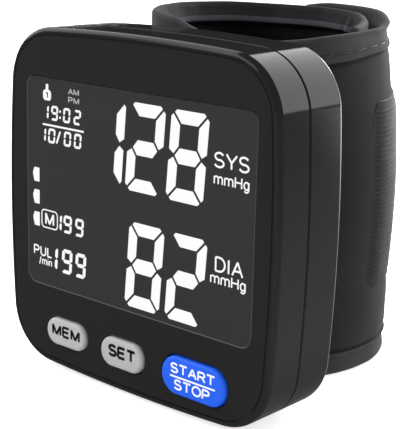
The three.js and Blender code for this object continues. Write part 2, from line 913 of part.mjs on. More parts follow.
function pressureSensor() {
  const body = roundedColumn(
    sensorX,
    partY,
    2 * airLineY - partY,
    sensorWidth,
    sensorTopZ - sensorHeight,
    sensorTopZ,
    fitGap,
  );
  const nozzle = bar('z', barbRadius, sensorTopZ - seatGap, sensorTopZ + nozzleLength, [sensorX, airLineY]);
  return joined(body, nozzle);
}

// The moulded fitting: one bar with a barb down to each part, and one back to the cuff.
function airFitting() {
  const endX = sensorX + airFittingRadius;
  const body = bar('x', airFittingRadius, cuffX - airFittingRadius, endX, [airLineY, airLineZ]);
  const barbs = [pumpX, valveX, sensorX].map((x) =>
    bar('z', barbRadius, fittingBottomZ - barbLength, airLineZ, [x, airLineY]),
  );
  const barbEndY = airLineY + airFittingRadius + barbLength;
  const backBarb = bar('y', barbRadius, airLineY, barbEndY, [cuffX, airLineZ]);
  return joined(body, ...barbs, backBarb);
}

// A short silicone hose over two barbs.
function hose(axis, from, to, point) {
  const sleeve = bar(axis, hoseBore + hoseWall, from, to, point);
  return cut(sleeve, bar(axis, hoseBore, from - cutOverrun, to + cutOverrun, point));
}

function airNozzle() {
  const at = [cuffX, airLineZ];
  const barbStart = airLineY + airFittingRadius + barbLength + fitGap;
  const tubeEnd = cuffY - bladderOuterRadius - fitGap;
  const tube = joined(
    bar('y', barbRadius, barbStart, nozzleFlangeY + seatGap, at, smallRoundSteps),
    bar('y', nozzleFlangeRadius, nozzleFlangeY, nozzleFlangeBackY, at),
    bar('y', nozzleRadius, nozzleFlangeBackY - seatGap, tubeEnd, at),
  );
  const bore = bar(
    'y',
    nozzleBoreRadius,
    barbStart - cutOverrun,
    tubeEnd + cutOverrun,
    at,
    smallRoundSteps,
  );
  return cut(tube, bore);
}

function chip() {
  const half = chipSize / 2;
  const [x, z] = chipAt;
  const yFront = boardBackY + seatGap;
  return block(x - half, x + half, yFront, yFront + chipThickness, z - half, z + half);
}

function buzzer() {
  const yFront = boardBackY + seatGap;
  const yBack = yFront + buzzerHeight;
  const portY = yFront + buzzerHeight / 2;
  const body = bar('y', buzzerRadius, yFront, yBack, buzzerAt);
  return cut(body, bar('y', buzzerPortRadius, portY, yBack + cutOverrun, buzzerAt, smallRoundSteps));
}

// Cuff

function onCircle(degrees, radius) {
  const angle = THREE.MathUtils.degToRad(degrees);
  const normal = new THREE.Vector2(Math.sin(angle), -Math.cos(angle));
  return { x: cuffX + normal.x * radius, y: cuffY + normal.y * radius, normal };
}

// Stations along an arc of the cuff, each with the outward direction of its outer face.
function arcStations(fromAngle, toAngle, radius) {
  const steps = Math.round(Math.abs(toAngle - fromAngle) / stationStepAngle);
  const stations = [];
  for (let step = 0; step <= steps; step++) {
    stations.push(onCircle(fromAngle + ((toAngle - fromAngle) * step) / steps, radius));
  }
  return stations;
}

// Stations along the tongue, whose outer face leaves the circle to pass inside the flap.
function tongueStations() {
  const knots = tongueRouteShares.map(([degrees, share], index) => {
    const start = index === 0 ? -gapAngle(cuffRadius) : 0;
    const { x, y } = onCircle(degrees + start, cuffRadius * share);
    return new THREE.Vector3(x, y, 0);
  });
  const curve = new THREE.CatmullRomCurve3(knots, false, 'centripetal');
  return curve.getSpacedPoints(tongueSteps).map((point, index) => {
    if (index === 0) {
      return onCircle(-rootAngle - gapAngle(cuffRadius), cuffRadius);
    }
    const tangent = curve.getTangentAt(index / tongueSteps);
    return { x: point.x, y: point.y, normal: new THREE.Vector2(-tangent.y, tangent.x) };
  });
}

function gapAngle(radius) {
  return THREE.MathUtils.radToDeg(cutGap / radius);
}

// A strip swept along stations: its section is given as depth behind the outer face, and height.
function band(stations, section) {
  const rings = stations.map(({ x, y, normal }) => {
    const lift = cuffLift + cuffShearShare * (y - cuffY);
    return section.map(
      ([depth, height]) => new THREE.Vector3(x - normal.x * depth, y - normal.y * depth, height + lift),
    );
  });
  const flat = section.map(([depth, height]) => new THREE.Vector2(depth, height));
  return skin(rings, capOf(flat));
}

// The outer side of a cloth band's section: turned hems at both edges, and round rims.
function hemmedFace(thickness) {
  const half = cuffHeight / 2;
  const round = thickness / 2;
  const diagonal = round * (1 - Math.SQRT1_2);
  return [
    [round, -half],
    [diagonal, -half + diagonal],
    [0, -half + round],
    [0, -half + lowerHemHeight],
    [hemStep, -half + lowerHemHeight + hemStep],
    [hemStep, half - hemHeight - hemStep],
    [0, half - hemHeight],
    [0, half - round],
    [diagonal, half - diagonal],
    [round, half],
    [thickness - diagonal, half - diagonal],
  ];
}

// A cloth band's whole section, with a flat back.
function hemmedSection(thickness) {
  const flatHalf = (cuffHeight - thickness) / 2;
  const diagonal = (thickness / 2) * (1 - Math.SQRT1_2);
  return [
    ...hemmedFace(thickness),
    [thickness, flatHalf],
    [thickness, -flatHalf],
    [thickness - diagonal, -cuffHeight / 2 + diagonal],
  ];
}

// The sleeve's section: thin at its rims and crowned towards the wrist, where the bladder lies.
function sleeveSection() {
  const shoulder = cuffHeight / 2 - rimHeight;
  const diagonal = (rimThickness / 2) * (1 - Math.SQRT1_2);
  return [
    ...hemmedFace(rimThickness),
    [rimThickness, shoulder],
    [sleeveThickness, shoulder - crownRise],
    [sleeveThickness, -shoulder + crownRise],
    [rimThickness, -shoulder],
    [rimThickness - diagonal, -cuffHeight / 2 + diagonal],
  ];
}

function rectangleSection(outerDepth, innerDepth, halfHeight) {
  return [
    [outerDepth, -halfHeight],
    [outerDepth, halfHeight],
    [innerDepth, halfHeight],
    [innerDepth, -halfHeight],
  ];
}

const pocketHalfHeight = cuffHeight / 2 - rimHeight - crownRise - pocketMargin;

function cuffSleeve() {
  const overrunAngle = rootAngle + stationStepAngle;
  const pocket = band(
    arcStations(-overrunAngle, overrunAngle, cuffRadius),
    rectangleSection(clothThickness, sleeveThickness - clothThickness, pocketHalfHeight + layerGap),
  );
  const outsideY = sleeveOuterY - cutOverrun;
  const insideY = cuffY - formerInnerRadius;
  const screwHoles = cuffScrewZ.map((z) =>
    bar('y', screwRadius + fitGap, outsideY, insideY, [cuffX, z], smallRoundSteps),
  );
  const nozzleHole = bar('y', nozzleRadius + fitGap, outsideY, insideY, [cuffX, airLineZ]);
  const sleeve = band(arcStations(-rootAngle, rootAngle, cuffRadius), sleeveSection());
  return cut(sleeve, pocket, ...screwHoles, nozzleHole);
}

// The sprung plastic sheet that keeps the sleeve round, screwed to the housing through the cloth.
function cuffFormer() {
  const depth = cuffRadius - formerOuterRadius;
  const sheet = band(
    arcStations(-formerAngle, formerAngle, cuffRadius),
    rectangleSection(depth, depth + formerThickness, pocketHalfHeight),
  );
  const insideY = cuffY - formerInnerRadius + cutOverrun;
  const headPockets = cuffScrewZ.map((z) =>
    bar('y', screwHeadRadius + fitGap, cuffScrewHeadY, insideY, [cuffX, z]),
  );
  const shankHoles = cuffScrewZ.map((z) =>
    bar('y', screwRadius + fitGap, sleeveOuterY, insideY, [cuffX, z], smallRoundSteps),
  );
  const nozzleHole = bar('y', nozzleRadius + fitGap, sleeveOuterY, insideY, [cuffX, airLineZ]);
  return cut(sheet, ...headPockets, ...shankHoles, nozzleHole);
}

// The rubber bladder: a flat cushion, thinner towards its welded edges.
function airBladder() {
  const outer = cuffRadius - bladderOuterRadius;
  const inner = cuffRadius - bladderInnerRadius;
  const middle = (outer + inner) / 2;
  const section = [
    [outer, -pocketHalfHeight + crownRise],
    [outer, pocketHalfHeight - crownRise],
    [middle, pocketHalfHeight],
    [inner, pocketHalfHeight - crownRise],
    [inner, -pocketHalfHeight + crownRise],
    [middle, -pocketHalfHeight],
  ];
  return band(arcStations(-formerAngle, formerAngle, cuffRadius), section);
}

function cuffScrew(z) {
  const at = [cuffX, z];
  const headY = cuffScrewHeadY + seatGap;
  const headEndY = cuffScrewHeadY + screwHeadThickness - seatGap;
  const shankY = cuffScrewHeadY - cuffScrewLength;
  return joined(
    bar('y', screwRadius, shankY, (headY + headEndY) / 2, at, smallRoundSteps),
    bar('y', screwHeadRadius, headY, headEndY, at),
  );
}

function cuffFlap() {
  return band(
    arcStations(rootAngle + gapAngle(cuffRadius), flapEndAngle, cuffRadius),
    hemmedSection(flapThickness),
  );
}

function cuffTongue() {
  return band(tongueStations(), hemmedSection(tongueThickness));
}

// The ribbed fastening patch on the flap's outside.
function hookPatch() {
  const half = hookPatchHeight / 2;
  const outer = -hookPatchThickness;
  const inner = hemStep - seatGap;
  const section = [
    [inner, -half + hookPatchLift],
    [outer + hookPatchFillet, -half + hookPatchLift],
    [outer, -half + hookPatchFillet + hookPatchLift],
    [outer, half - hookPatchFillet + hookPatchLift],
    [outer + hookPatchFillet, half + hookPatchLift],
    [inner, half + hookPatchLift],
  ];
  return band(arcStations(hookPatchStartAngle, hookPatchEndAngle, cuffRadius), section);
}

// The hook strip inside the flap's free end, which grips the tongue's outer face.
function hookStrip() {
  const depth = flapThickness + seatGap;
  return band(
    arcStations(hookStripStartAngle, hookStripEndAngle, cuffRadius),
    rectangleSection(depth, depth + hookStripThickness, hookStripHeight / 2),
  );
}

// Finishes

function finish(color, roughness, metalness = 0) {
  return new THREE.MeshStandardMaterial({ color, roughness, metalness });
}

const blackPlastic = finish(0x2b2b2c, 0.45);
const smokedLens = finish(0x363636, 0.15);
const panelGlass = finish(0x3a3c3e, 0.2);
const whiteDiffuser = finish(0xe8e8e4, 0.5);
const boardGreen = finish(0x1f5a35, 0.5);
const greyButton = finish(0xbdbdbd, 0.45);
const blueButton = finish(0x2f66ee, 0.4);
const steel = finish(0xb9bcc0, 0.3, 1);
const chipBlack = finish(0x1b1b1d, 0.6);
const cellJacket = finish(0x5c6f7c, 0.4, 0.3);
const whiteNylon = finish(0xdedcd4, 0.55);
const siliconeHose = finish(0xd5d8d8, 0.6);
const greyRubber = finish(0x55575a, 0.8);
const blackCloth = finish(0x36373b, 0.95);
const hookCloth = finish(0x484b45, 1);

// Assembly

const monitor = new THREE.Group();

function add(name, solid, material) {
  const mesh = new THREE.Mesh(asGeometry(solid), material);
  mesh.name = name;
  monitor.add(mesh);
}

add('front_cover', frontCover(), blackPlastic);
add('rear_cover', rearCover(), blackPlastic);
add('battery_door', batteryDoor(), blackPlastic);
bosses.forEach((boss, index) => add(`case_screw_${index + 1}`, caseScrew(boss), steel));

add('display_window', displayWindow(), smokedLens);
add('display_panel', displayPanel(), panelGlass);
add('backlight', backlight(), whiteDiffuser);
add('connector_strip', connectorStrip(), greyRubber);
add('circuit_board', circuitBoard(), boardGreen);

for (const button of buttons) {
  add(`${button.name}_button`, buttonCap(button), button.name === 'start_stop' ? blueButton : greyButton);
  add(`${button.name}_switch`, switchBody(button), chipBlack);
  add(`${button.name}_plunger`, switchPlunger(button), whiteNylon);
}

add('controller_chip', chip(), chipBlack);
add('buzzer', buzzer(), chipBlack);

cellX.forEach((x, index) => {
  const up = index === 0;
  add(`battery_${index + 1}`, cell(x, up), cellJacket);
  add(`battery_spring_${index + 1}`, batterySpring(x, up ? -1 : 1), steel);
});
const contactHalf = cellRadius - contactInset;
add('series_contact', contactPlate(cellX[0] - contactHalf, cellX[1] + contactHalf, 1), steel);
add('negative_contact', contactPlate(cellX[0] - contactHalf, cellX[0] + contactHalf, -1), steel);
add('positive_contact', contactPlate(cellX[1] - contactHalf, cellX[1] + contactHalf, -1), steel);

add('pump_motor', pumpMotor(), steel);
add('pump_head', pumpHead(), whiteNylon);
add('exhaust_valve', exhaustValve(), whiteNylon);
add('pressure_sensor', pressureSensor(), chipBlack);
add('air_fitting', airFitting(), whiteNylon);
add('pump_hose', hose('z', pumpHeadTopZ + fitGap, fittingBottomZ - fitGap, [pumpX, airLineY]), siliconeHose);
add('valve_hose', hose('z', valveTopZ + fitGap, fittingBottomZ - fitGap, [valveX, airLineY]), siliconeHose);
add('sensor_hose', hose('z', sensorTopZ + fitGap, fittingBottomZ - fitGap, [sensorX, airLineY]), siliconeHose);
add(
  'cuff_hose',
  hose('y', airLineY + airFittingRadius + fitGap, nozzleFlangeY - fitGap, [cuffX, airLineZ]),
  siliconeHose,
);
add('air_nozzle', airNozzle(), whiteNylon);

add('cuff_sleeve', cuffSleeve(), blackCloth);
add('cuff_former', cuffFormer(), whiteNylon);
add('air_bladder', airBladder(), greyRubber);
cuffScrewZ.forEach((z, index) => add(`cuff_screw_${index + 1}`, cuffScrew(z), steel));
add('cuff_flap', cuffFlap(), blackCloth);
add('cuff_tongue', cuffTongue(), blackCloth);
add('hook_patch', hookPatch(), hookCloth);
add('hook_strip', hookStrip(), hookCloth);

console.log(`battery springs: least gap between turns ${springClearance().toFixed(2)} mm`);

export default monitor;
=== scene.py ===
import math

import bmesh
import bpy
from mathutils import Matrix, Vector, noise
from mathutils.geometry import tessellate_polygon


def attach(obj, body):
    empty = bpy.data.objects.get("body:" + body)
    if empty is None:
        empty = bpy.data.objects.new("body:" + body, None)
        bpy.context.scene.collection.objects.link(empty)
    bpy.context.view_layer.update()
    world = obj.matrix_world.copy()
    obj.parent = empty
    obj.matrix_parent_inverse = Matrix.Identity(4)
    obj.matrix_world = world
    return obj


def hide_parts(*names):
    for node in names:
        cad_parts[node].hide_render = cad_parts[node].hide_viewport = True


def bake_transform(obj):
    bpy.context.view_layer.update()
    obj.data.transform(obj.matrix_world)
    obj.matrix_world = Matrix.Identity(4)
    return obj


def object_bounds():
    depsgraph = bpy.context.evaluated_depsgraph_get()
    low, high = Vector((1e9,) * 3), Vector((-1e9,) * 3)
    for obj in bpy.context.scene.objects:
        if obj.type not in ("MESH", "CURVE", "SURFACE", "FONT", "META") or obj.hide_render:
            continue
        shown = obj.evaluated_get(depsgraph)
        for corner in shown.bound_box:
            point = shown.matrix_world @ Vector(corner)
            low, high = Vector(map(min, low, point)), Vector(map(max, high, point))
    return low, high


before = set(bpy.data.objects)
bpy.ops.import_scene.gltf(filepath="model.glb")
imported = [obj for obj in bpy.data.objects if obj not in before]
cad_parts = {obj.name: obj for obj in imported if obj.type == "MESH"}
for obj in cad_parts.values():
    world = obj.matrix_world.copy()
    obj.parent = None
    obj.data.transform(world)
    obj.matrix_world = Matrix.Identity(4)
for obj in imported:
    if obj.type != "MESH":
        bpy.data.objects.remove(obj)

# Camera
# The photograph's own camera, fitted to the housing's outline. Every length in this script is in
# millimetres, and is turned into metres where a mesh, a lamp or the camera is made.

MM = 0.001
scene = bpy.context.scene
cad_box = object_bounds()

camera_place = Vector((171.18, -174.15, 63.38))
camera_azimuth = math.radians(41.218)
camera_elevation = math.radians(14.176)
camera_roll = math.radians(1.445)
camera_focal_pixels = 1232.33
frame_long_side_pixels = 429
sensor_side = 36
clip_near = 5
clip_far = 20000


def new_object(name, data):
    """An object in the scene."""
    made = bpy.data.objects.new(name, data)
    scene.collection.objects.link(made)
    return made


camera_data = bpy.data.cameras.new("camera")
camera_data.sensor_width = sensor_side
camera_data.lens = sensor_side * camera_focal_pixels / frame_long_side_pixels
camera_data.clip_start = clip_near * MM
camera_data.clip_end = clip_far * MM
scene.camera = new_object("camera", camera_data)
scene.camera.matrix_world = (
    Matrix.Translation(camera_place * MM)
    @ Matrix.Rotation(camera_azimuth, 4, "Z")
    @ Matrix.Rotation(math.pi / 2 - camera_elevation, 4, "X")
    @ Matrix.Rotation(camera_roll, 4, "Z")
)
scene.view_settings.view_transform = "Standard"

# Studio
# A wide pale floor that runs up to a white backdrop. A large soft box and a small bright lamp stand
# behind the object, a broad strip to its left, and a soft fill in front. Glossy faces mirror a dark
# room and floor, with brighter areas on the floor behind the object and to its right.

floor_half_side = 4000
floor_colour = (0.86, 0.86, 0.86, 1)
floor_lift = 0.72
room_light = 0.68
room_in_gloss = 0.016
floor_in_gloss = 0.15
side_floor_in_gloss = 0.3
side_floor_start, side_floor_full, side_floor_end = 30, 62, 300
card_in_gloss = 6
card_slope = 1.43
card_fade = 25
card_start_y, card_full_y = 150, 420
near_card_share = 0.22
near_card_start_y, near_card_full_y = 15, 45


def add_node(tree, kind, inputs=(), **settings):
    """The outputs of a new shader node. Its inputs are plain values or other nodes' outputs."""
    node = tree.nodes.new(kind if kind.startswith("Node") else "ShaderNode" + kind)
    for name, value in settings.items():
        setattr(node, name, value)
    for name, value in dict(inputs).items():
        if isinstance(value, bpy.types.bpy_prop_collection):
            value = value[0]
        if isinstance(value, bpy.types.NodeSocket):
            tree.links.new(value, node.inputs[name])
        else:
            node.inputs[name].default_value = value
    return node.outputs


def calculate(tree, operation, *values):
    """The output of a Math node, or of one node after another for more than two values."""
    if len(values) > 2:
        values = calculate(tree, operation, *values[:-1]), values[-1]
    return add_node(tree, "Math", enumerate(values), operation=operation)[0]


def product(tree, *values):
    """Values multiplied by Math nodes."""
    return calculate(tree, "MULTIPLY", *values)


def total(tree, *values):
    """Values added by Math nodes."""
    return calculate(tree, "ADD", *values)


def ramp(tree, value, low, high):
    """Rises from 0 at the first length to 1 at the second, both in millimetres."""
    return add_node(tree, "MapRange", {"Value": value, "From Min": low * MM, "From Max": high * MM})[0]


def ray_kinds(tree):
    """Whether a ray is seen straight or through glass, and whether it is seen in a glossy face."""
    rays = add_node(tree, "LightPath")
    seen = calculate(tree, "MAXIMUM", rays["Is Camera Ray"], rays["Is Transmission Ray"])
    return seen, rays["Is Glossy Ray"]


def new_material(name):
    """An empty node material and its tree."""
    material = bpy.data.materials.new(name)
    material.use_nodes = True
    material.node_tree.nodes.clear()
    return material, material.node_tree


def new_piece(name, mesh, *materials):
    """An object that shows a mesh in its materials."""
    mesh.name = name
    for material in materials:
        mesh.materials.append(material)
    return new_object(name, mesh)


floor_material, tree = new_material("pale_floor")
seen, in_gloss = ray_kinds(tree)
paint = add_node(tree, "BsdfDiffuse", {"Color": floor_colour})
lift = add_node(tree, "Emission", {"Strength": product(tree, seen, floor_lift)})
place = add_node(tree, "SeparateXYZ", {"Vector": add_node(tree, "NewGeometry")["Position"]})
past_line = calculate(tree, "SUBTRACT", place["Y"], product(tree, place["X"], card_slope))
near = product(tree, ramp(tree, place["Y"], near_card_start_y, near_card_full_y), near_card_share)
far = product(tree, ramp(tree, place["Y"], card_start_y, card_full_y), 1 - near_card_share)
card = product(tree, ramp(tree, past_line, -card_fade, 0), total(tree, near, far), card_in_gloss)
beside = product(
    tree,
    ramp(tree, place["X"], side_floor_start, side_floor_full),
    ramp(tree, place["X"], side_floor_end, side_floor_full),
    side_floor_in_gloss,
)
mirrored = add_node(tree, "Emission", {"Strength": total(tree, card, beside, floor_in_gloss)})
lit = add_node(tree, "AddShader", {0: paint, 1: lift})
surface = add_node(tree, "MixShader", {0: in_gloss, 1: lit, 2: mirrored})
add_node(tree, "OutputMaterial", {"Surface": surface})

floor_z = cad_box[0].z / MM
floor_mesh = bpy.data.meshes.new("floor")
floor_corners = [
    Vector((x * floor_half_side, y * floor_half_side, floor_z)) * MM
    for x, y in ((-1, -1), (1, -1), (1, 1), (-1, 1))
]
floor_mesh.from_pydata(floor_corners, [], [(0, 1, 2, 3)])
new_piece("floor", floor_mesh, floor_material)

scene.world = bpy.data.worlds.new("room")
scene.world.use_nodes = True
tree = scene.world.node_tree
tree.nodes.clear()
seen, in_gloss = ray_kinds(tree)
unseen = calculate(tree, "SUBTRACT", 1, calculate(tree, "MAXIMUM", seen, in_gloss))
strength = total(tree, seen, product(tree, in_gloss, room_in_gloss), product(tree, unseen, room_light))
background = add_node(tree, "Background", {"Color": (1, 1, 1, 1), "Strength": strength})
add_node(tree, "OutputWorld", {"Surface": background})

# Each row gives a lamp's middle, the way it faces, its width and height, and its radiance.
for name, middle, facing, width, height, radiance in (
    ("soft_box_behind", (280, 900, 584), (0, -1, 0), 1470, 1032, 2.6),
    ("rim_glint", (-95, 880, 350), (0, -1, 0), 280, 190, 24),
    ("strip_left", (-1071, 0, 767), (0.8, 0, -0.75), 1500, 1300, 1.9),
    ("fill_front", (-600, -1050, 850), (0.5, 0.8, -0.6), 900, 700, 2.2),
):
    lamp_data = bpy.data.lights.new(name, "AREA")
    lamp_data.shape = "RECTANGLE"
    lamp_data.size = width * MM
    lamp_data.size_y = height * MM
    lamp_data.energy = radiance * math.pi * lamp_data.size * lamp_data.size_y
    lamp = new_object(name, lamp_data)
    lamp.location = Vector(middle) * MM
    lamp.rotation_euler = Vector(facing).to_track_quat("-Z", "Y").to_euler()

# Front cover
# The front half of the housing, injection moulded in black plastic. One fillet and a fine groove run
# round its face, the window has a stepped recess in it, and each button a well with a softened edge.

face_y = -0.3
housing_width = 76.4
housing_height = 76
side_bow = 2
end_bow = 1.5
housing_corner_radius = 12.5
parting_y = 9.1
parting_gap = 0.3
parting_chamfer = 0.2
front_fillet = 1.4
wall = 1.8
lip_inset = 1
lip_end_y = 10.1
cover_back_y = 1.8
ledge_y = 1.1
window_middle = (0.45, 3.75)
window_size = (63.7, 45.7)
window_corner_radius = 2.4
window_ledge = 1.5
window_edge_round = 0.3
well_edge_round = 0.3
fit_gap = 0.2
button_gap = 0.25
corner_steps = 28
bow_steps = 16
fillet_steps = 10
round_steps = 4

# Each row gives a button's middle, its width and height, and its corners' radius.
buttons = {
    "mem": ((-18.9, -29.1), (12.2, 6.15), 3.0),
    "set": ((-1.75, -29.35), (12.2, 6.5), 3.1),
    "start_stop": ((18.5, -29.5), (17.1, 8.2), 4.0),
}

# Each row gives how far in from the outline the groove has a corner, and how deep it lies.
face_groove = [(1.43, 0), (1.58, 0.065), (1.73, 0)]


def arc(centre, radius, start, end, steps, last=0):
    """Points on an arc, with the end left out unless last is 1."""
    angles = [start + (end - start) * step / steps for step in range(steps + last)]
    return [(centre[0] + radius * math.cos(a), centre[1] + radius * math.sin(a)) for a in angles]


def housing_outline(inset):
    """The housing's outline, inset evenly: four shallow bows joined by corner arcs tangent to them."""
    half_width, half_height = housing_width / 2, housing_height / 2
    side_radius = (half_height**2 + side_bow**2) / (2 * side_bow)
    end_radius = (half_width**2 + end_bow**2) / (2 * end_bow)
    side_centre, end_centre = half_width - side_radius, half_height - end_radius
    to_side, to_end = side_radius - housing_corner_radius, end_radius - housing_corner_radius
    apart = math.hypot(side_centre, end_centre)
    along = (to_side**2 - to_end**2 + apart**2) / (2 * apart)
    across = math.sqrt(to_side**2 - along**2)
    unit = (-side_centre / apart, end_centre / apart)
    corner_x = side_centre + unit[0] * along - unit[1] * across
    corner_z = unit[1] * along + unit[0] * across
    side_angle = math.atan2(corner_z, corner_x - side_centre)
    end_angle = math.atan2(corner_z - end_centre, corner_x)
    corner_radius = housing_corner_radius - inset
    points = []
    for side, turn in ((1, 0), (-1, math.pi)):
        corner, next_corner = (side * corner_x, side * corner_z), (-side * corner_x, side * corner_z)
        side_end, end_start = turn + side_angle, turn + end_angle
        end_end, next_side = turn + math.pi - end_angle, turn + math.pi - side_angle
        points += arc((side * side_centre, 0), side_radius - inset, turn - side_angle, side_end, bow_steps)
        points += arc(corner, corner_radius, side_end, end_start, corner_steps)
        points += arc((0, side * end_centre), end_radius - inset, end_start, end_end, bow_steps)
        points += arc(next_corner, corner_radius, end_end, next_side, corner_steps)
    return points


def rounded_rectangle(middle, size, radius, margin=0, steps=12):
    """A rectangle with round corners, grown evenly by a margin."""
    radius += margin
    reach_x, reach_z = size[0] / 2 + margin - radius, size[1] / 2 + margin - radius
    points = []
    for quarter, (side, end) in enumerate(((1, 1), (-1, 1), (-1, -1), (1, -1))):
        centre = (middle[0] + side * reach_x, middle[1] + end * reach_z)
        start = quarter * math.pi / 2
        points += arc(centre, radius, start, start + math.pi / 2, steps, 1)
    return points


def add_loop(shape, outline, y):
    """A closed row of points in the plane at one depth."""
    return [shape.verts.new((x * MM, y * MM, z * MM)) for x, z in outline]


def bridge(shape, loops):
    """Faces between each loop and the next."""
    for first, second in zip(loops, loops[1:]):
        for step, corner in enumerate(first):
            after = (step + 1) % len(first)
            shape.faces.new((corner, first[after], second[after], second[step]))


def fill(shape, *loops):
    """A flat face inside the first loop, with the other loops as holes."""
    corners = [corner for loop in loops for corner in loop]
    for triangle in tessellate_polygon([[corner.co for corner in loop] for loop in loops]):
        shape.faces.new([corners[index] for index in triangle])


def quarter_round(radius, steps):
    """Pairs of depth and inset, from the side of a rounded edge to its face."""
    angles = [math.pi / 2 * step / steps for step in range(steps + 1)]
    return [(radius * (1 - math.sin(a)), radius * (1 - math.cos(a))) for a in angles]


def to_mesh(shape):
    """The finished mesh, with its faces pointing out."""
    bmesh.ops.recalc_face_normals(shape, faces=shape.faces)
    mesh = bpy.data.meshes.new("mesh")
    shape.to_mesh(mesh)
    shape.free()
    return mesh


def smooth_moulding(piece, angle=34):
    """Smooth shading over curves, with crisp edges and flat faces kept flat."""
    piece.data.shade_smooth()
    piece.data.set_sharp_from_angle(angle=math.radians(angle))
    piece.modifiers.new("flat_faces", "WEIGHTED_NORMAL").keep_sharp = True


def group_with(name, inputs, outputs):
    """A shader node group, and what it is given. Each named socket is a number, but Colour a colour."""
    group = bpy.data.node_groups.new(name, "ShaderNodeTree")
    for direction, labels in (("INPUT", inputs), ("OUTPUT", outputs)):
        for label in labels:
            kind = "NodeSocketColor" if label == "Colour" else "NodeSocketFloat"
            group.interface.new_socket(label, in_out=direction, socket_type=kind)
    return group, add_node(group, "NodeGroupInput")


def blend_colours(tree, factor, first, second, kind="MIX"):
    """The output of a colour Mix node."""
    inputs = {0: factor, 6: first, 7: second}
    return add_node(tree, "Mix", inputs, data_type="RGBA", blend_type=kind)[2]


# Fine grain of a moulded or rubbery surface: slight changes of colour and gloss, and a height.
broad_share = 0.02
lightest_share = 0.08
fine_grain, given = group_with(
    "fine_grain",
    ("Colour", "Roughness", "Grains per metre", "Unevenness"),
    ("Colour", "Roughness", "Height"),
)
place = add_node(fine_grain, "TexCoord")["Object"]
grain_inputs = {"Vector": place, "Scale": given["Grains per metre"], "Detail": 2.0, "Roughness": 0.6}
broad_scale = product(fine_grain, given["Grains per metre"], broad_share)
broad = add_node(fine_grain, "TexNoise", {"Vector": place, "Scale": broad_scale, "Detail": 3.0})
uneven = product(fine_grain, calculate(fine_grain, "SUBTRACT", broad, 0.5), given["Unevenness"])
lighter = blend_colours(fine_grain, lightest_share, given["Colour"], (1, 1, 1, 1), "SCREEN")
grain_outputs = {
    "Colour": blend_colours(fine_grain, uneven, given["Colour"], lighter),
    "Roughness": total(fine_grain, given["Roughness"], uneven),
    "Height": add_node(fine_grain, "TexNoise", grain_inputs),
}
add_node(fine_grain, "NodeGroupOutput", grain_outputs)


def surfaced(name, group, given, relief, strength, shine):
    """A material with one Principled shader, whose colour and relief come out of a group."""
    material, tree = new_material(name)
    skin = add_node(tree, "Group", given, node_tree=group)
    bump = {"Height": skin["Height"], "Strength": strength, "Distance": relief * MM}
    inputs = {"Base Color": skin["Colour"], "Normal": add_node(tree, "Bump", bump), **shine}
    if "Roughness" in skin:
        inputs["Roughness"] = skin["Roughness"]
    add_node(tree, "OutputMaterial", {"Surface": add_node(tree, "BsdfPrincipled", inputs)})
    return material


def moulded(name, colour, roughness, grain=9000, relief=0.004, uneven=0.04, **shine):
    """A material with the fine grain. What else it says is set on the shader."""
    given = {"Colour": (*colour, 1), "Roughness": roughness, "Grains per metre": grain}
    given["Unevenness"] = uneven
    shine = {label.replace("_", " "): value for label, value in shine.items()}
    return surfaced(name, fine_grain, given, relief, 1.0, shine)


plastic_black = (0.0175, 0.0175, 0.0177)
# Painted highlight: a lighter grey for the faces of the window's edge that turn up or to the right.
window_edge_highlight_grey = (0.09, 0.09, 0.091)
# Painted shade: a near-black for the fine groove round the face.
groove_painted_shade_black = (0.007, 0.007, 0.0072)
black_plastic = moulded("black_moulded_plastic", plastic_black, 0.08, uneven=0.03, Specular_IOR_Level=0.3)
window_edge_highlight_plastic = moulded("painted_window_edge_highlight", window_edge_highlight_grey, 0.2, uneven=0.03, Specular_IOR_Level=0.3)
groove_painted_shade_plastic = moulded("face_groove_shade", groove_painted_shade_black, 0.5, uneven=0.03, Specular_IOR_Level=0.1)


def softened_edge(radius, gap):
    """Depths and margins down the rounded edge of an opening in the face."""
    return [(face_y + depth, gap + inset) for depth, inset in reversed(quarter_round(radius, round_steps))]


shape = bmesh.new()
edge_y = parting_y - parting_gap / 2
outside = [(edge_y, parting_chamfer), (edge_y - parting_chamfer, 0)]
outside += [(face_y + depth, inset) for depth, inset in quarter_round(front_fillet, fillet_steps)]
outside += [(face_y + depth, inset) for inset, depth in face_groove]
outside = [add_loop(shape, housing_outline(inset), y) for y, inset in outside]
inside = [(edge_y, lip_inset), (lip_end_y, lip_inset), (lip_end_y, wall), (cover_back_y, wall)]
inside = [add_loop(shape, housing_outline(inset), y) for y, inset in inside]
bridge(shape, outside)
bridge(shape, inside)
bridge(shape, [outside[0], inside[0]])
recess = [(ledge_y, fit_gap), (ledge_y, -window_ledge), (cover_back_y, -window_ledge)]
window = (window_middle, window_size, window_corner_radius)
openings = [(window, softened_edge(window_edge_round, fit_gap) + recess)]
for button in buttons.values():
    openings.append((button, softened_edge(well_edge_round, button_gap) + [(cover_back_y, button_gap)]))
holes = []
for opening, levels in openings:
    holes.append([add_loop(shape, rounded_rectangle(*opening, margin), y) for y, margin in levels])
    bridge(shape, holes[-1])
fill(shape, outside[-1], *[hole[0] for hole in holes])
fill(shape, inside[-1], *[hole[-1] for hole in holes])
front_shell = new_piece("front_shell", to_mesh(shape), black_plastic, window_edge_highlight_plastic, groove_painted_shade_plastic)
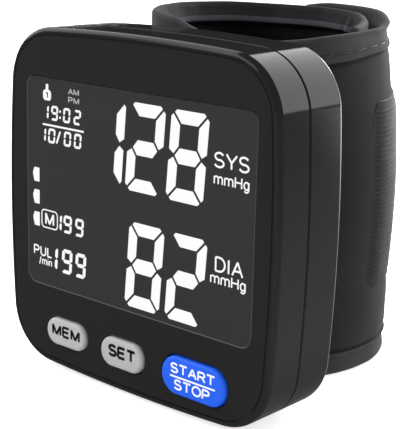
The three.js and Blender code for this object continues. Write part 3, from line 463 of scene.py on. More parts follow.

# The window's left and lower edges get a lighter grey as a painted highlight, and the groove a near-black as
# painted shade. Faces of each are known by where they are and by how far they turn from the front.
window_side_x = window_size[0] / 2 + 1
window_low_z, window_top_z = -22, window_middle[1] + window_size[1] / 2
window_slope = (-0.97, -0.1)
highlight_turn = 0.2
groove_side_x = 33.4
groove_low_z, groove_top_z = -34.5, 28.5
groove_floor_y = face_y + 0.07
groove_slope = (-0.95, -0.7)
for face in front_shell.data.polygons:
    x, y, z = face.center / MM
    facing = face.normal
    at_window = abs(x - window_middle[0]) < window_side_x and window_low_z < z < window_top_z
    on_edge = y < face_y + window_edge_round and window_slope[0] < facing.y < window_slope[1]
    if at_window and on_edge and max(facing.x, facing.z) > highlight_turn:
        face.material_index = 1
    at_rim = abs(x) > groove_side_x or not groove_low_z < z < groove_top_z
    if at_rim and y < groove_floor_y and groove_slope[0] < facing.y < groove_slope[1]:
        face.material_index = 2
smooth_moulding(front_shell)
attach(front_shell, "housing")
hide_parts("front_cover")

# Rear cover
# The back half of the housing: one moulding with the battery bay, the screw columns, the bosses
# for the cuff's screws and a saddle hollowed to the cuff's curve. Its left side is open for the door.

rim_y = 19.5
back_inner_y = 17.9
pad_inner_y = 19.3
pad_y = 20.9
rear_fillet = 0.8
pad_inset = 3.9
pad_slope = 0.6
pad_chamfer = 0.4
pad_wall = 1.2
lip_height = 1
overrun = 2
seat_gap = 0.1
door_x = -33.6
door_half_height = 25.2
door_shoulder = 1.4
rail_thickness = 0.8
rail_reach = 1.2
rail_length = 6.6
bay_front_y = 7.3
bay_wall = 1
bay_end_wall = 1.2
bay_left = -32.4
bay_right = -12.6
bay_half_height = 24.9
screw_places = [(28.5, 30), (-28.5, 30), (-28.5, -30), (30.5, -22.8)]
screw_seat_y = 13.4
column_start_y = 8.8
column_radius = 3.2
head_pocket_radius = 2.2
shank_hole_radius = 1.15
cuff_x = -3.6
cuff_y = 50
cuff_radius = 28.3
cuff_screw_places = [(cuff_x, 8), (cuff_x, -20)]
cuff_boss_radius = 2
cuff_boss_length = 4.7
nozzle_place = (cuff_x, 21)
nozzle_hole_radius = 2.2
saddle_size = (28, 60)
saddle_rise = 4
saddle_flare = 2
saddle_corner_radius = 5
saddle_bar_steps = 240


def loft(levels):
    """A closed mesh over outlines at their depths."""
    shape = bmesh.new()
    loops = [add_loop(shape, outline, y) for y, outline in levels]
    bridge(shape, loops)
    fill(shape, loops[0])
    fill(shape, loops[-1])
    return to_mesh(shape)


def plate(outline, front_y, back_y):
    """A flat plate between two depths."""
    return loft([(front_y, outline), (back_y, outline)])


def block(x0, x1, y0, y1, z0, z1):
    """A rectangular block."""
    return plate([(x0, z0), (x1, z0), (x1, z1), (x0, z1)], y0, y1)


def bar(radius, start_y, end_y, place, steps=40):
    """A round bar along the depth."""
    return plate(arc(place, radius, 0, 2 * math.pi, steps), start_y, end_y)


def bars(radius, start_y, end_y, places):
    """One round bar at each place."""
    return [bar(radius, start_y, end_y, place) for place in places]


def upright_bar(radius, x, y, z0, z1, steps):
    """A round bar from one height to another."""
    mesh = bar(radius, z0, z1, (x, y), steps)
    mesh.transform(Matrix(((1, 0, 0, 0), (0, 0, 1, 0), (0, 1, 0, 0), (0, 0, 0, 1))))
    mesh.flip_normals()
    return mesh


def combine(base, operation, tools):
    """A mesh with others joined to it, cut out of it, or kept where they meet it."""
    holder = new_object("holder", base)
    helpers = [new_object("tool", tool) for tool in tools]
    for helper in helpers:
        step = holder.modifiers.new("step", "BOOLEAN")
        step.operation = operation
        step.solver = "EXACT"
        step.object = helper
    graph = bpy.context.evaluated_depsgraph_get()
    made = bpy.data.meshes.new_from_object(holder.evaluated_get(graph))
    for helper in (holder, *helpers):
        bpy.data.objects.remove(helper)
    return made


def door_space(gap):
    """The block of the housing's side that the door fills."""
    reach = door_half_height - gap
    left = -housing_width / 2 - overrun
    return block(left, door_x - gap, parting_y - overrun, pad_y + overrun, -reach, reach)


edge_y = parting_y + parting_gap / 2
levels = [(edge_y, parting_chamfer), (edge_y + parting_chamfer, 0)]
levels += [(rim_y - depth, inset) for depth, inset in quarter_round(rear_fillet, fillet_steps)]
levels += [(rim_y, pad_inset - pad_slope), (pad_y - pad_chamfer, pad_inset), (pad_y, pad_inset + pad_chamfer)]
hollows = [(back_inner_y, wall), (pad_inner_y, pad_inset + pad_wall)]
hollows.append((parting_y + lip_height + fit_gap, lip_inset - fit_gap))
rear_walls = combine(
    loft([(y, housing_outline(inset)) for y, inset in levels]),
    "DIFFERENCE",
    [plate(housing_outline(inset), parting_y - overrun, y) for y, inset in hollows],
)

saddle = rounded_rectangle((cuff_x, 0), saddle_size, saddle_corner_radius)
saddle_foot = rounded_rectangle((cuff_x, 0), saddle_size, saddle_corner_radius, saddle_flare)
saddle = loft([(pad_y - seat_gap, saddle_foot), (pad_y + saddle_rise, saddle)])
cuff_space = (cuff_radius + fit_gap, cuff_x, cuff_y, -housing_height, housing_height, saddle_bar_steps)
saddle = combine(saddle, "DIFFERENCE", [upright_bar(*cuff_space)])

# The door's rails leave through two slots in the back.
openings = [door_space(0)]
for side in (1, -1):
    ends = (door_half_height - door_shoulder - 2 * fit_gap, door_half_height + rail_reach + fit_gap)
    low, high = sorted(side * end for end in ends)
    left, right = door_x - rail_thickness, door_x + rail_thickness
    openings.append(block(left, right, back_inner_y - overrun, pad_y + overrun, low, high))

bay = (-bay_half_height, bay_half_height)
bay_outside = (-bay_half_height - bay_end_wall, bay_half_height + bay_end_wall)
boss_start_y = pad_inner_y - cuff_boss_length
inner_end_y = pad_inner_y + seat_gap
through_y = pad_y + saddle_rise + overrun
rear = combine(rear_walls, "DIFFERENCE", openings)
for operation, tools in (
    (
        "UNION",
        [
            block(bay_left, bay_right + bay_wall, bay_front_y, back_inner_y + seat_gap, *bay_outside),
            *bars(column_radius, column_start_y, inner_end_y, screw_places),
        ],
    ),
    (
        "DIFFERENCE",
        [
            block(bay_left - overrun, bay_right, bay_front_y + bay_wall, back_inner_y, *bay),
            block(bay_left, bay_right, back_inner_y - overrun, pad_inner_y, *bay),
        ],
    ),
    ("UNION", [saddle, *bars(cuff_boss_radius, boss_start_y, inner_end_y, cuff_screw_places)]),
    (
        "DIFFERENCE",
        [
            *bars(head_pocket_radius, screw_seat_y, through_y, screw_places),
            *bars(shank_hole_radius, column_start_y - overrun, pad_y, screw_places),
            *bars(shank_hole_radius, boss_start_y - overrun, through_y, cuff_screw_places),
            bar(nozzle_hole_radius, boss_start_y - overrun, through_y, nozzle_place),
        ],
    ),
):
    rear = combine(rear, operation, tools)
rear_shell = new_piece("rear_shell", rear, black_plastic)
smooth_moulding(rear_shell)
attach(rear_shell, "housing")
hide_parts("rear_cover")

# Battery door
# A piece of the rear cover's side wall, moulded on its own. It slides on two rails that run behind
# the wall above and below it, and has five ribs for the thumb.

grip_radius = 0.35
grip_length = 9
grip_pitch = 1.5
grip_count = 5
grip_steps = 16

panel = combine(rear_walls, "INTERSECT", [door_space(fit_gap)])
rail_x = door_x - rail_thickness + fit_gap
rail_inner = door_half_height - door_shoulder - fit_gap
rail_start_y = back_inner_y - rail_length
left, right = rail_x - rail_thickness, rail_x + rail_thickness
additions = []
for side in (1, -1):
    shoulder = sorted((side * rail_inner, side * (door_half_height - 2 * fit_gap)))
    rail = sorted((side * rail_inner, side * (door_half_height + rail_reach)))
    additions.append(block(left, right, rail_start_y, back_inner_y + seat_gap, *shoulder))
    additions.append(block(rail_x, right, rail_start_y, back_inner_y - fit_gap, *rail))
first_grip_y = (parting_y + rim_y - (grip_count - 1) * grip_pitch) / 2
for rib in range(grip_count):
    y = first_grip_y + rib * grip_pitch
    ends = (-grip_length / 2, grip_length / 2)
    additions.append(upright_bar(grip_radius, -housing_width / 2, y, *ends, grip_steps))
door_panel = new_piece("door_panel", combine(panel, "UNION", additions), black_plastic)
smooth_moulding(door_panel)
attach(door_panel, "door")
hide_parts("battery_door")

# Case screws
# Four small self-tapping screws of plated steel, driven from the back at the bottom of deep holes.
# Each has a domed head with a cross recess.

screw_head_radius = 1.9
screw_head_height = 1.2
screw_dome = 0.35
screw_flat_share = 0.35
dome_shares = (0.25, 0.5, 0.75, 0.95)
screw_shank_radius = 0.95
screw_shank_length = 8.2
screw_point_length = 1.6
screw_point_share = 0.35
recess_width = 0.55
recess_span = 1.15
recess_depth = 0.85
turned_steps = 48
steel_grey = (0.42, 0.42, 0.43)

plated_steel = moulded("plated_steel", steel_grey, 0.28, grain=5000, relief=0.001, uneven=0.12, Metallic=1.0)


def turned(profile, place):
    """A closed mesh turned about a line along the depth; the profile gives depth and radius."""
    return loft([(y, arc(place, radius, 0, 2 * math.pi, turned_steps)) for y, radius in profile])


seat_y = screw_seat_y + seat_gap
top_y = seat_y + screw_head_height
dome_y = top_y - screw_dome
profile = [(seat_y - screw_shank_length, screw_shank_radius * screw_point_share)]
profile.append((seat_y - (screw_shank_length - screw_point_length), screw_shank_radius))
profile += [(seat_y, screw_shank_radius), (seat_y, screw_head_radius), (dome_y, screw_head_radius)]
for share in dome_shares:
    turn = share * math.pi / 2
    radius = screw_head_radius * (screw_flat_share + (1 - screw_flat_share) * math.cos(turn))
    profile.append((dome_y + screw_dome * math.sin(turn), radius))
for number, (x, z) in enumerate(screw_places, 1):
    half, cut = recess_width / 2, (top_y - recess_depth, top_y + 1)
    cuts = [
        block(x - recess_span, x + recess_span, *cut, z - half, z + half),
        block(x - half, x + half, *cut, z - recess_span, z + recess_span),
    ]
    screw_mesh = combine(turned(profile, (x, z)), "DIFFERENCE", cuts)
    screw = new_piece(f"case_screw_{number}_turned", screw_mesh, plated_steel)
    smooth_moulding(screw, 40)
    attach(screw, "housing")
    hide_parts(f"case_screw_{number}")

# Display window
# A smoked plate of polished acrylic, dropped into the front cover's recess. Its edge has a small chamfer all
# round, lighter grey as a painted highlight on all but its top side, and its face lies just below the
# cover's.

lens_y = -0.2
lens_back_y = 1
lens_chamfer = 0.1
lens_side_gap = 0.03
chamfer_slope = (-0.95, -0.3)
chamfer_top_turn = 0.5
lens_grey = (0.034, 0.034, 0.0343)
lens_edge_highlight_grey = (0.1, 0.1, 0.102)

smoked_lens = moulded(
    "smoked_acrylic", lens_grey, 0.06, grain=4000, relief=0.0004, uneven=0.02, Specular_IOR_Level=0.3
)
lens_edge_highlight = moulded("painted_lens_edge_highlight", lens_edge_highlight_grey, 0.2, grain=4000, relief=0.0004)
margin = fit_gap - lens_side_gap
levels = [(lens_y, margin - lens_chamfer), (lens_y + lens_chamfer, margin), (lens_back_y, margin)]
lens_mesh = loft([(y, rounded_rectangle(*window, margin)) for y, margin in levels])
window_lens = new_piece("window_lens", lens_mesh, smoked_lens, lens_edge_highlight)
# Painted highlight: every chamfer face but those at the top takes the lighter grey.
for face in lens_mesh.polygons:
    is_chamfer = chamfer_slope[0] < face.normal.y < chamfer_slope[1]
    face.material_index = 1 if is_chamfer and face.normal.z < chamfer_top_turn else 0
smooth_moulding(window_lens, 25)
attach(window_lens, "housing")
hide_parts("display_window")

# Figures
# The lit marks of the display: seven-segment numbers that lean to the right, and plain words for
# what they measure. They shine through the window, and lie on its face so that no edge hides them.

figure_lift = 0.03
lean = 1.3 / 17.7
full_glow = 1.0
faint_glow = 0.44
lit_core = (1, 1, 1, 1)
lit_rim = (0.96, 0.98, 1, 1)
small_gap_share = 0.1
small_nip_share = 0.7


def glowing(name, brightness):
    """A lit mark: white, with a trace of unevenness, as the light panel behind it has."""
    material, tree = new_material(name)
    tint = blend_colours(tree, add_node(tree, "TexNoise", {"Scale": 180.0}), lit_core, lit_rim)
    light = add_node(tree, "Emission", {"Color": tint, "Strength": brightness})
    add_node(tree, "OutputMaterial", {"Surface": light})
    return material


lit_white = glowing("lit_white", full_glow)
lit_grey = glowing("lit_grey", faint_glow)


def add_figure(shape, *loops, lift=figure_lift):
    """A thin raised mark inside the first outline, with the others as holes in it."""
    fronts = [add_loop(shape, loop, -lift) for loop in loops]
    backs = [add_loop(shape, loop, 0) for loop in loops]
    for front, back in zip(fronts, backs):
        bridge(shape, [front, back])
    fill(shape, *fronts)
    fill(shape, *backs)


def placed_mesh(shape, x, y, z):
    """The finished mesh of flat marks, moved to its place."""
    mesh = to_mesh(shape)
    mesh.transform(Matrix.Translation((x * MM, y * MM, z * MM)))
    return mesh


def segment_outlines(width, height, side, end, middle, gap, nip):
    """The seven segments of a number in a box at the origin, each as an outline."""
    half = height / 2
    top = [
        (nip + gap, height),
        (width - nip - gap, height),
        (width - nip / 2 - gap, height - nip / 2),
        (width - side - gap, height - end),
        (side + gap, height - end),
        (nip / 2 + gap, height - nip / 2),
    ]
    right = [
        (width - nip / 2, height - nip / 2 - gap),
        (width, height - nip - gap),
        (width, half + middle / 2 - gap),
        (width - side / 2, half + gap),
        (width - side, half + middle / 2 + gap),
        (width - side, height - end - gap),
    ]
    across = [
        (side / 2 + gap, half),
        (side + gap, half + middle / 2),
        (width - side - gap, half + middle / 2),
        (width - side / 2 - gap, half),
        (width - side - gap, half - middle / 2),
        (side + gap, half - middle / 2),
    ]
    low_right = [(x, height - z) for x, z in right]
    left, low_left = ([(width - x, z) for x, z in part] for part in (right, low_right))
    low = [(x, height - z) for x, z in top]
    return {"a": top, "b": right, "c": low_right, "d": low, "e": low_left, "f": left, "g": across}


segments_of = {"0": "abcdef", "1": "bc", "2": "abged", "8": "abcdefg", "9": "abcdfg"}


def add_number(shape, digit, left, bottom, *sizes):
    """One leaning seven-segment number."""
    outlines = segment_outlines(*sizes)
    for letter in segments_of[digit]:
        add_figure(shape, [(left + x + z * lean, bottom + z) for x, z in outlines[letter]])


# The two large readings share a width, a height, three stroke widths, a gap and a corner cut.
big_sizes = (9.8, 18.2, 2.4, 2.65, 3.1, 0.37, 1.0)
big_numbers = [("1", -12.65, 6.5), ("2", -1.75, 6.5), ("8", 9.6, 6.5)]
big_numbers += [("8", -1.55, -18.15), ("2", 9.85, -18.15)]

# Each row gives digits and their foot, then their left sides, and one width, height and stroke.
small_rows = [
    ("1902", 17.75, (-27.1, -24.15, -20.35, -17.1), 2.15, 3.2, 0.52),
    ("1000", 12.75, (-28.05, -25.1, -20.15, -17.0), 2.2, 3.2, 0.52),
    ("199", -6.3, (-23.55, -20.4, -16.7), 2.6, 3.95, 0.62),
    ("199", -15.45, (-25.6, -21.0, -16.7), 3.25, 5.5, 0.82),
]

# The clock's two dots, the date's slash, the line between them, the battery's bars, the framed
# letter's badge, and the user's sign.
marks = [
    [arc((-21.2, 18.65), 0.27, 0, 2 * math.pi, 12)],
    [arc((-21.2, 19.95), 0.27, 0, 2 * math.pi, 12)],
    [[(-22.6, 12.95), (-22.1, 12.95), (-20.95, 15.65), (-21.45, 15.65)]],
    [[(-26.7, 16.4), (-13.95, 16.4), (-13.95, 16.8), (-26.7, 16.8)]],
]
for z in (3.65, -1.3, -6.3):
    top = z + 3.1
    marks.append([[(-29.55, z), (-27.95, z), (-27.95, top), (-29.55, top), (-30.0, z + 2), (-30.0, z + 1.5)]])
badge = (-24.7, -4.25)
marks.append([rounded_rectangle(badge, (5.3, 4.2), 1.0), rounded_rectangle(badge, (4.75, 3.65), 0.75)])
marks.append([rounded_rectangle((-25.3, 23.0), (2.5, 2.3), 0.8)])
marks.append([rounded_rectangle((-25.3, 24.35), (0.8, 0.9), 0.25)])
marks.append([arc((-25.3, 25.0), 0.42, 0, 2 * math.pi, 14)])

shape = bmesh.new()
for number in big_numbers:
    add_number(shape, *number, *big_sizes)
for text, bottom, lefts, width, height, stroke in small_rows:
    for digit, left in zip(text, lefts):
        strokes = (stroke, stroke, stroke, stroke * small_gap_share, stroke * small_nip_share)
        add_number(shape, digit, left, bottom, width, height, *strokes)
for loops in marks:
    add_figure(shape, *loops)
figures = new_piece("figures", placed_mesh(shape, 0, lens_y, 0), lit_white)
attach(figures, "housing")

bend_steps = 10
sharpest_mitre = 0.45
shortest_step = 1e-4


def bend(x, y, across, up, start, end):
    """Points along part of an oval, between two angles in degrees."""
    turns = [math.radians(start + (end - start) * i / bend_steps) for i in range(bend_steps + 1)]
    return [(x + across * math.cos(t), y + up * math.sin(t)) for t in turns]


# Each letter: how wide it is, and the middle lines of its strokes, for capitals one unit high.
stem = [(0, 0), (0, 1)]
letters = {
    "A": (0.8, [[(0, 0), (0.4, 1)], [(0.4, 1), (0.8, 0)], [(0.14, 0.34), (0.66, 0.34)]]),
    "D": (0.74, [stem, [(0, 1), (0.32, 1), *bend(0.32, 0.5, 0.42, 0.5, 90, -90), (0, 0)]]),
    "E": (0.66, [stem, [(0, 1), (0.66, 1)], [(0, 0.52), (0.6, 0.52)], [(0, 0), (0.66, 0)]]),
    "H": (0.7, [stem, [(0.7, 0), (0.7, 1)], [(0, 0.52), (0.7, 0.52)]]),
    "I": (0, [stem]),
    "L": (0.56, [[(0, 1), (0, 0)], [(0, 0), (0.56, 0)]]),
    "M": (0.84, [stem, [(0, 1), (0.42, 0.02)], [(0.42, 0.02), (0.84, 1)], [(0.84, 1), (0.84, 0)]]),
    "O": (0.86, [bend(0.43, 0.5, 0.43, 0.5, 0, 180), bend(0.43, 0.5, 0.43, 0.5, 180, 360)]),
    "P": (0.66, [stem, [(0, 1), (0.38, 1), *bend(0.38, 0.73, 0.28, 0.27, 90, -90), (0, 0.46)]]),
    "R": (
        0.72,
        [
            stem,
            [(0, 1), (0.4, 1), *bend(0.4, 0.74, 0.28, 0.26, 90, -90), (0, 0.48)],
            [(0.4, 0.48), (0.72, 0)],
        ],
    ),
    "S": (0.7, [[*bend(0.35, 0.745, 0.32, 0.255, 25, 255), *bend(0.35, 0.255, 0.35, 0.255, 80, -160)]]),
    "T": (0.78, [[(0, 1), (0.78, 1)], [(0.39, 1), (0.39, 0)]]),
    "U": (0.68, [[(0, 1), (0, 0.34), *bend(0.34, 0.34, 0.34, 0.34, 180, 360), (0.68, 0.34), (0.68, 1)]]),
    "Y": (0.8, [[(0, 1), (0.4, 0.45)], [(0.4, 0.45), (0.8, 1)], [(0.4, 0.45), (0.4, 0)]]),
    "g": (
        0.5,
        [
            bend(0.25, 0.36, 0.25, 0.36, 0, 180),
            bend(0.25, 0.36, 0.25, 0.36, 180, 360),
            [(0.5, 0.72), (0.5, 0), *bend(0.26, 0, 0.24, 0.26, 0, -150)],
        ],
    ),
    "i": (0, [[(0, 0), (0, 0.72)], [(0, 0.93), (0, 1.02)]]),
    "m": (
        0.9,
        [
            [(0, 0), (0, 0.72)],
            [*bend(0.225, 0.5, 0.225, 0.22, 180, 0), (0.45, 0)],
            [*bend(0.675, 0.5, 0.225, 0.22, 180, 0), (0.9, 0)],
        ],
    ),
    "n": (0.48, [[(0, 0), (0, 0.72)], [*bend(0.24, 0.48, 0.24, 0.24, 180, 0), (0.48, 0)]]),
    "/": (0.3, [[(0, -0.08), (0.3, 1.05)]]),
    "1": (0.22, [[(0, 0.78), (0.22, 1)], [(0.22, 1), (0.22, 0)]]),
}


def thickened(points, width):
    """The outline of a line drawn with a broad pen."""
    points = [p for i, p in enumerate(points) if i == 0 or math.dist(p, points[i - 1]) > shortest_step]
    sides = ([], [])
    for i, point in enumerate(points):
        here = Vector(point)
        into = (here - Vector(points[i - 1])).normalized() if i > 0 else None
        out = (Vector(points[i + 1]) - here).normalized() if i < len(points) - 1 else None
        into, out = into or out, out or into
        across = Vector((-into.y - out.y, into.x + out.x)).normalized()
        reach = width / 2 / max(sharpest_mitre, across.dot(Vector((-out.y, out.x))))
        sides[0].append(tuple(here + across * reach))
        sides[1].append(tuple(here - across * reach))
    return sides[0] + sides[1][::-1]


def add_word(shape, text, left, right, foot, capital, stroke, space, lift):
    """A word of plain stroked letters between two sides."""
    widths = [letters[letter][0] for letter in text]
    scale = (right - left - stroke) / (sum(widths) + space * (len(text) - 1))
    x = left + stroke / 2
    for letter, width in zip(text, widths):
        for line in letters[letter][1]:
            placed = [(x + px * scale, foot + stroke / 2 + pz * (capital - stroke)) for px, pz in line]
            add_figure(shape, thickened(placed, stroke), lift=lift)
        x += (width + space) * scale


# Each row gives a word, its left and right sides and foot, then its height, stroke and spacing.
bright_words = [
    ("SYS", 22.0, 30.75, 14.85, 3.15, 0.4, 0.2),
    ("mmHg", 22.05, 30.85, 11.6, 2.3, 0.31, 0.27),
    ("DIA", 22.95, 30.1, -5.6, 3.15, 0.4, 0.3),
    ("mmHg", 21.85, 30.8, -8.1, 2.3, 0.31, 0.27),
    ("PUL", -29.95, -23.95, -13.0, 2.3, 0.36, 0.3),
    ("/min", -28.2, -24.0, -14.95, 1.75, 0.25, 0.3),
    ("M", -26.15, -23.25, -5.6, 2.8, 0.48, 0.3),
]
faint_words = [
    ("AM", -18.75, -15.4, 23.9, 1.35, 0.26, 0.24),
    ("PM", -18.7, -15.35, 22.1, 1.35, 0.26, 0.3),
]
user_numbers = [("1", -25.65, -25.0, 22.3, 1.45, 0.3, 0.3)]

for name, rows, material, lift in (
    ("display_words", bright_words, lit_white, figure_lift),
    ("faint_words", faint_words, lit_grey, figure_lift),
    ("user_number", user_numbers, smoked_lens, figure_lift * 2),
):
    shape = bmesh.new()
    for row in rows:
        add_word(shape, *row, lift)
    words = new_piece(name, placed_mesh(shape, 0, lens_y, 0), material)
    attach(words, "housing")

# Buttons
# Three moulded caps with rounded edges, two grey and one blue, each on a wider flange that stops it
# behind the cover. The words on them are printed.

cap_y = -1.1
cap_round = 0.75
cap_steps = 8
flange_y = 1.9
flange_width = 1
flange_thickness = 0.6
print_lift = 0.02
button_grey = (0.53, 0.53, 0.533)
button_blue = (0.018, 0.14, 1.0)
ink_black = (0.004, 0.004, 0.005)
ink_white = (1.0, 1.0, 1.0)
# Painted light: the white print glows faintly, though it is no lamp.
ink_painted_glow = {"Emission_Color": (*ink_white, 1), "Emission_Strength": 0.12}

grey_plastic = moulded("grey_moulded_plastic", button_grey, 0.38, uneven=0.05, Specular_IOR_Level=0.4)
blue_plastic = moulded("blue_moulded_plastic", button_blue, 0.34, uneven=0.05, Specular_IOR_Level=0.25)
black_ink = moulded("black_print", ink_black, 0.45, relief=0.001)
white_ink = moulded("white_print", ink_white, 0.45, relief=0.001, **ink_painted_glow)

# Each row gives a button's finish, its print's finish, its slot, and words like the rows above.
button_looks = {
    "mem": (grey_plastic, black_ink, "grey_button", [("MEM", -4.15, 4.75, -0.85, 2.7, 0.6, 0.3)]),
    "set": (grey_plastic, black_ink, "grey_button", [("SET", -3.65, 4.6, -0.85, 2.85, 0.66, 0.24)]),
    "start_stop": (
        blue_plastic,
        white_ink,
        "blue_button",
        [("START", -5.85, 6.15, 0.6, 2.25, 0.4, 0.22), ("STOP", -4.8, 4.8, -2.85, 2.3, 0.4, 0.22)],
    ),
}
divider = [(-5.9, -0.28), (6.15, -0.28), (6.15, 0.09), (-5.9, 0.09)]
for name, (plastic, ink, slot, rows) in button_looks.items():
    levels = [(cap_y + depth, -inset) for depth, inset in reversed(quarter_round(cap_round, cap_steps))]
    levels += [(flange_y, 0), (flange_y, flange_width), (flange_y + flange_thickness, flange_width)]
    cap_mesh = loft([(y, rounded_rectangle(*buttons[name], margin)) for y, margin in levels])
    cap = new_piece(f"{name}_cap", cap_mesh, plastic)
    smooth_moulding(cap, 50)
    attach(cap, f"{name}_key")
    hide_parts(f"{name}_button")
    shape = bmesh.new()
    for row in rows:
        add_word(shape, *row, print_lift)
    if len(rows) > 1:
        add_figure(shape, divider, lift=print_lift)
    x, z = buttons[name][0]
    printed = new_piece(f"{name}_print", placed_mesh(shape, x, cap_y, z), ink)
    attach(printed, f"{name}_key")

# Parts inside the housing
# The display and its backlight, the board with its switches, chip and buzzer, and the air train. They
# keep the shapes of the CAD model, and get their own finishes.


def dress(material, names):
    """The finish of CAD nodes that are shown as they are."""
    for name in names.split():
        for slot_of_node in bpy.data.objects[name].material_slots:
            slot_of_node.material = material


hoses = "pump_hose valve_hose sensor_hose cuff_hose"
black_parts = "mem_switch set_switch start_stop_switch controller_chip buzzer pressure_sensor exhaust_valve"
white_parts = "mem_plunger set_plunger start_stop_plunger pump_head air_fitting air_nozzle cuff_former"
steel_parts = "pump_motor series_contact positive_contact negative_contact"

# Each row gives a finish's colour, roughness, grains per metre, relief and unevenness, then its nodes.
for name, *finish, nodes in (
    ("display_panel_glass", (0.012, 0.013, 0.015), 0.08, 3000, 0.0004, 0.04, "display_panel"),
    ("backlight_diffuser", (0.78, 0.8, 0.82), 0.5, 4000, 0.002, 0.04, "backlight"),
    ("board_laminate", (0.02, 0.11, 0.05), 0.42, 3000, 0.003, 0.2, "circuit_board"),
    ("black_component", (0.016, 0.016, 0.017), 0.5, 8000, 0.006, 0.04, black_parts),
    ("white_nylon", (0.72, 0.71, 0.67), 0.42, 6000, 0.003, 0.04, white_parts),
    ("hose_silicone", (0.55, 0.56, 0.55), 0.38, 4000, 0.002, 0.04, hoses),
    ("connector_silicone", (0.35, 0.2, 0.22), 0.5, 5000, 0.002, 0.04, "connector_strip"),
    ("bladder_rubber", (0.03, 0.03, 0.032), 0.6, 2500, 0.01, 0.1, "air_bladder"),
):
    dress(moulded(name, *finish), nodes)
dress(plated_steel, steel_parts + " battery_spring_1 battery_spring_2 cuff_screw_1 cuff_screw_2")

# Battery cells
# Two AAA cells, side by side and head to tail. Each is a steel can in a printed film jacket, with a
# rolled shoulder and the raised contact at its positive end.

cell_length = 44.5
cell_y = 13.85
cell_x = (-28.95, -18.15)
jacket_band = 12
scuff_shade = 0.12
scuff_roughness = 0.15
jacket_roughness = 0.22
jacket_metal = 0.55
jacket_dark = (0.012, 0.013, 0.016, 1)
jacket_copper = (0.5, 0.26, 0.12, 1)
scuff_grey = (0.4, 0.4, 0.42, 1)

# Each row gives a height from the cell's middle, and its radius there, up to the raised contact.
cell_profile = [
    (-22.25, 3.675), (-22.25, 4.65), (-22.01, 5.13), (-21.65, 5.23), (20.85, 5.23), (21.25, 5.05),
    (21.45, 4.65), (21.3, 3.675), (21.3, 1.9), (22.05, 1.9), (22.25, 1.65),
]

cell_material, tree = new_material("cell_jacket")
along = add_node(tree, "SeparateXYZ", {"Vector": add_node(tree, "TexCoord")["Generated"]})["Z"]
band = calculate(tree, "GREATER_THAN", along, 1 - jacket_band / cell_length)
scuffs = add_node(tree, "TexNoise", {"Scale": 300.0, "Detail": 4.0})[0]
film = blend_colours(tree, band, jacket_dark, jacket_copper)
jacket = {
    "Base Color": blend_colours(tree, product(tree, scuffs, scuff_shade), film, scuff_grey),
    "Roughness": total(tree, product(tree, scuffs, scuff_roughness), jacket_roughness),
    "Metallic": jacket_metal,
}
add_node(tree, "OutputMaterial", {"Surface": add_node(tree, "BsdfPrincipled", jacket)})

for number, (x, upward) in enumerate(zip(cell_x, (1, -1)), 1):
    cell_mesh = turned(cell_profile, (0, 0))
    upright = Matrix.Rotation(math.pi / 2 * upward, 4, "X")
    cell_mesh.transform(Matrix.Translation(Vector((x, cell_y, 0)) * MM) @ upright)
    cell = new_piece(f"cell_{number}", cell_mesh, cell_material)
    smooth_moulding(cell, 40)
    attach(cell, "housing")
    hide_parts(f"battery_{number}")

# Cuff
# One padded cloth band, screwed to the saddle through its sleeve. Its right end, the flap, wraps
# right round over its left end, the tongue. Both edges are turned over as hems and sewn down.

cuff_height = 78
foot_z = -38.5
sleeve_thickness = 6.3
rim_height = 5
crown_rise = 4.6
hem_heights = (6.1, 5.2)
hem_edge_rise = 1.1
hem_rise_reach = 14
hem_step = 0.4
flap_thickness = 2
tongue_thickness = 2.1
flap_seed = 1.5
tongue_seed = 4.5
seam_angle = -14
pad_start_angle = 36
root_angle = 46
flap_end_angle = 204
cut_gap = 0.02
route_step_angle = 1.5
cloth_step = 0.9
rim_steps = 8
end_turns = (0.35, 0.7, 1.05, 1.35, 1.52)
edge_width = 0.14
edge_swell = 0.35
edge_swell_width = 0.8
stitch_drop = 4.3
stitch_groove = 0.28
stitch_groove_width = 0.5
pad_seam_drop = 5.4
pad_seam_depth = 0.9
pad_seam_width = 0.6
calm_length = 8
# Painted highlight: a lighter band along the padded roll inside the cuff, where its top catches light.
roll_highlight_drop = 2.9
roll_highlight_width = 1.5
roll_start = 1.8
threads_per_metre = 2000
cloth_relief = 0.04
cloth_bump = 0.6
cloth_shine = {"Roughness": 0.85, "Specular IOR Level": 0.25, "Sheen Roughness": 0.5}
cuff_slate = (0.0172, 0.0175, 0.0198)
# Painted light: the hems, the outer half of each rolled rim and the unlined inner hems take a lighter copy of
# the charcoal cloth, where they catch more light.
hem_painted_light_grey = (0.039, 0.0395, 0.0442)
cuff_navy = (0.017, 0.0167, 0.0205)
# Painted shade: near-black for the cuff's inside below its roll, where shade falls.
cuff_interior_painted_shade = (0.002, 0.002, 0.0028)
# Painted highlight: the lighter colour of the band along the inner roll.
roll_painted_highlight = (0.062, 0.059, 0.07)

# Each row gives an angle round the cuff, then the tongue's distance from the middle as a share.
tongue_route_shares = [
    (45, 1), (68, 1), (92, 1), (118, 0.995), (138, 0.965), (156, 0.895),
    (178, 0.86), (203, 0.8), (228, 0.74), (252, 0.765), (268, 0.83), (279, 0.895),
]

# Each row gives an angle, then the height of the cloth's rim there. It isn't cut level.
flap_rim_rows = [
    (-14, 39.6), (5, 37.0), (30, 36.0), (46, 36.35), (60, 37.1), (70, 37.4), (80, 37.6), (98, 37.8),
    (112, 37.9), (122, 38.5), (133, 39.4), (145, 39.9), (160, 40.15), (180, 40.35), (192, 40.3), (204, 39.5),
]
tongue_rim_rows = [
    (-279, 38.6), (-240, 38.9), (-170, 39.6), (-139, 39.7), (-117, 40.05), (-100, 40.15),
    (-88, 40.25), (-65, 40.2), (-50, 40.1), (-30, 39.9), (-14, 39.6),
]

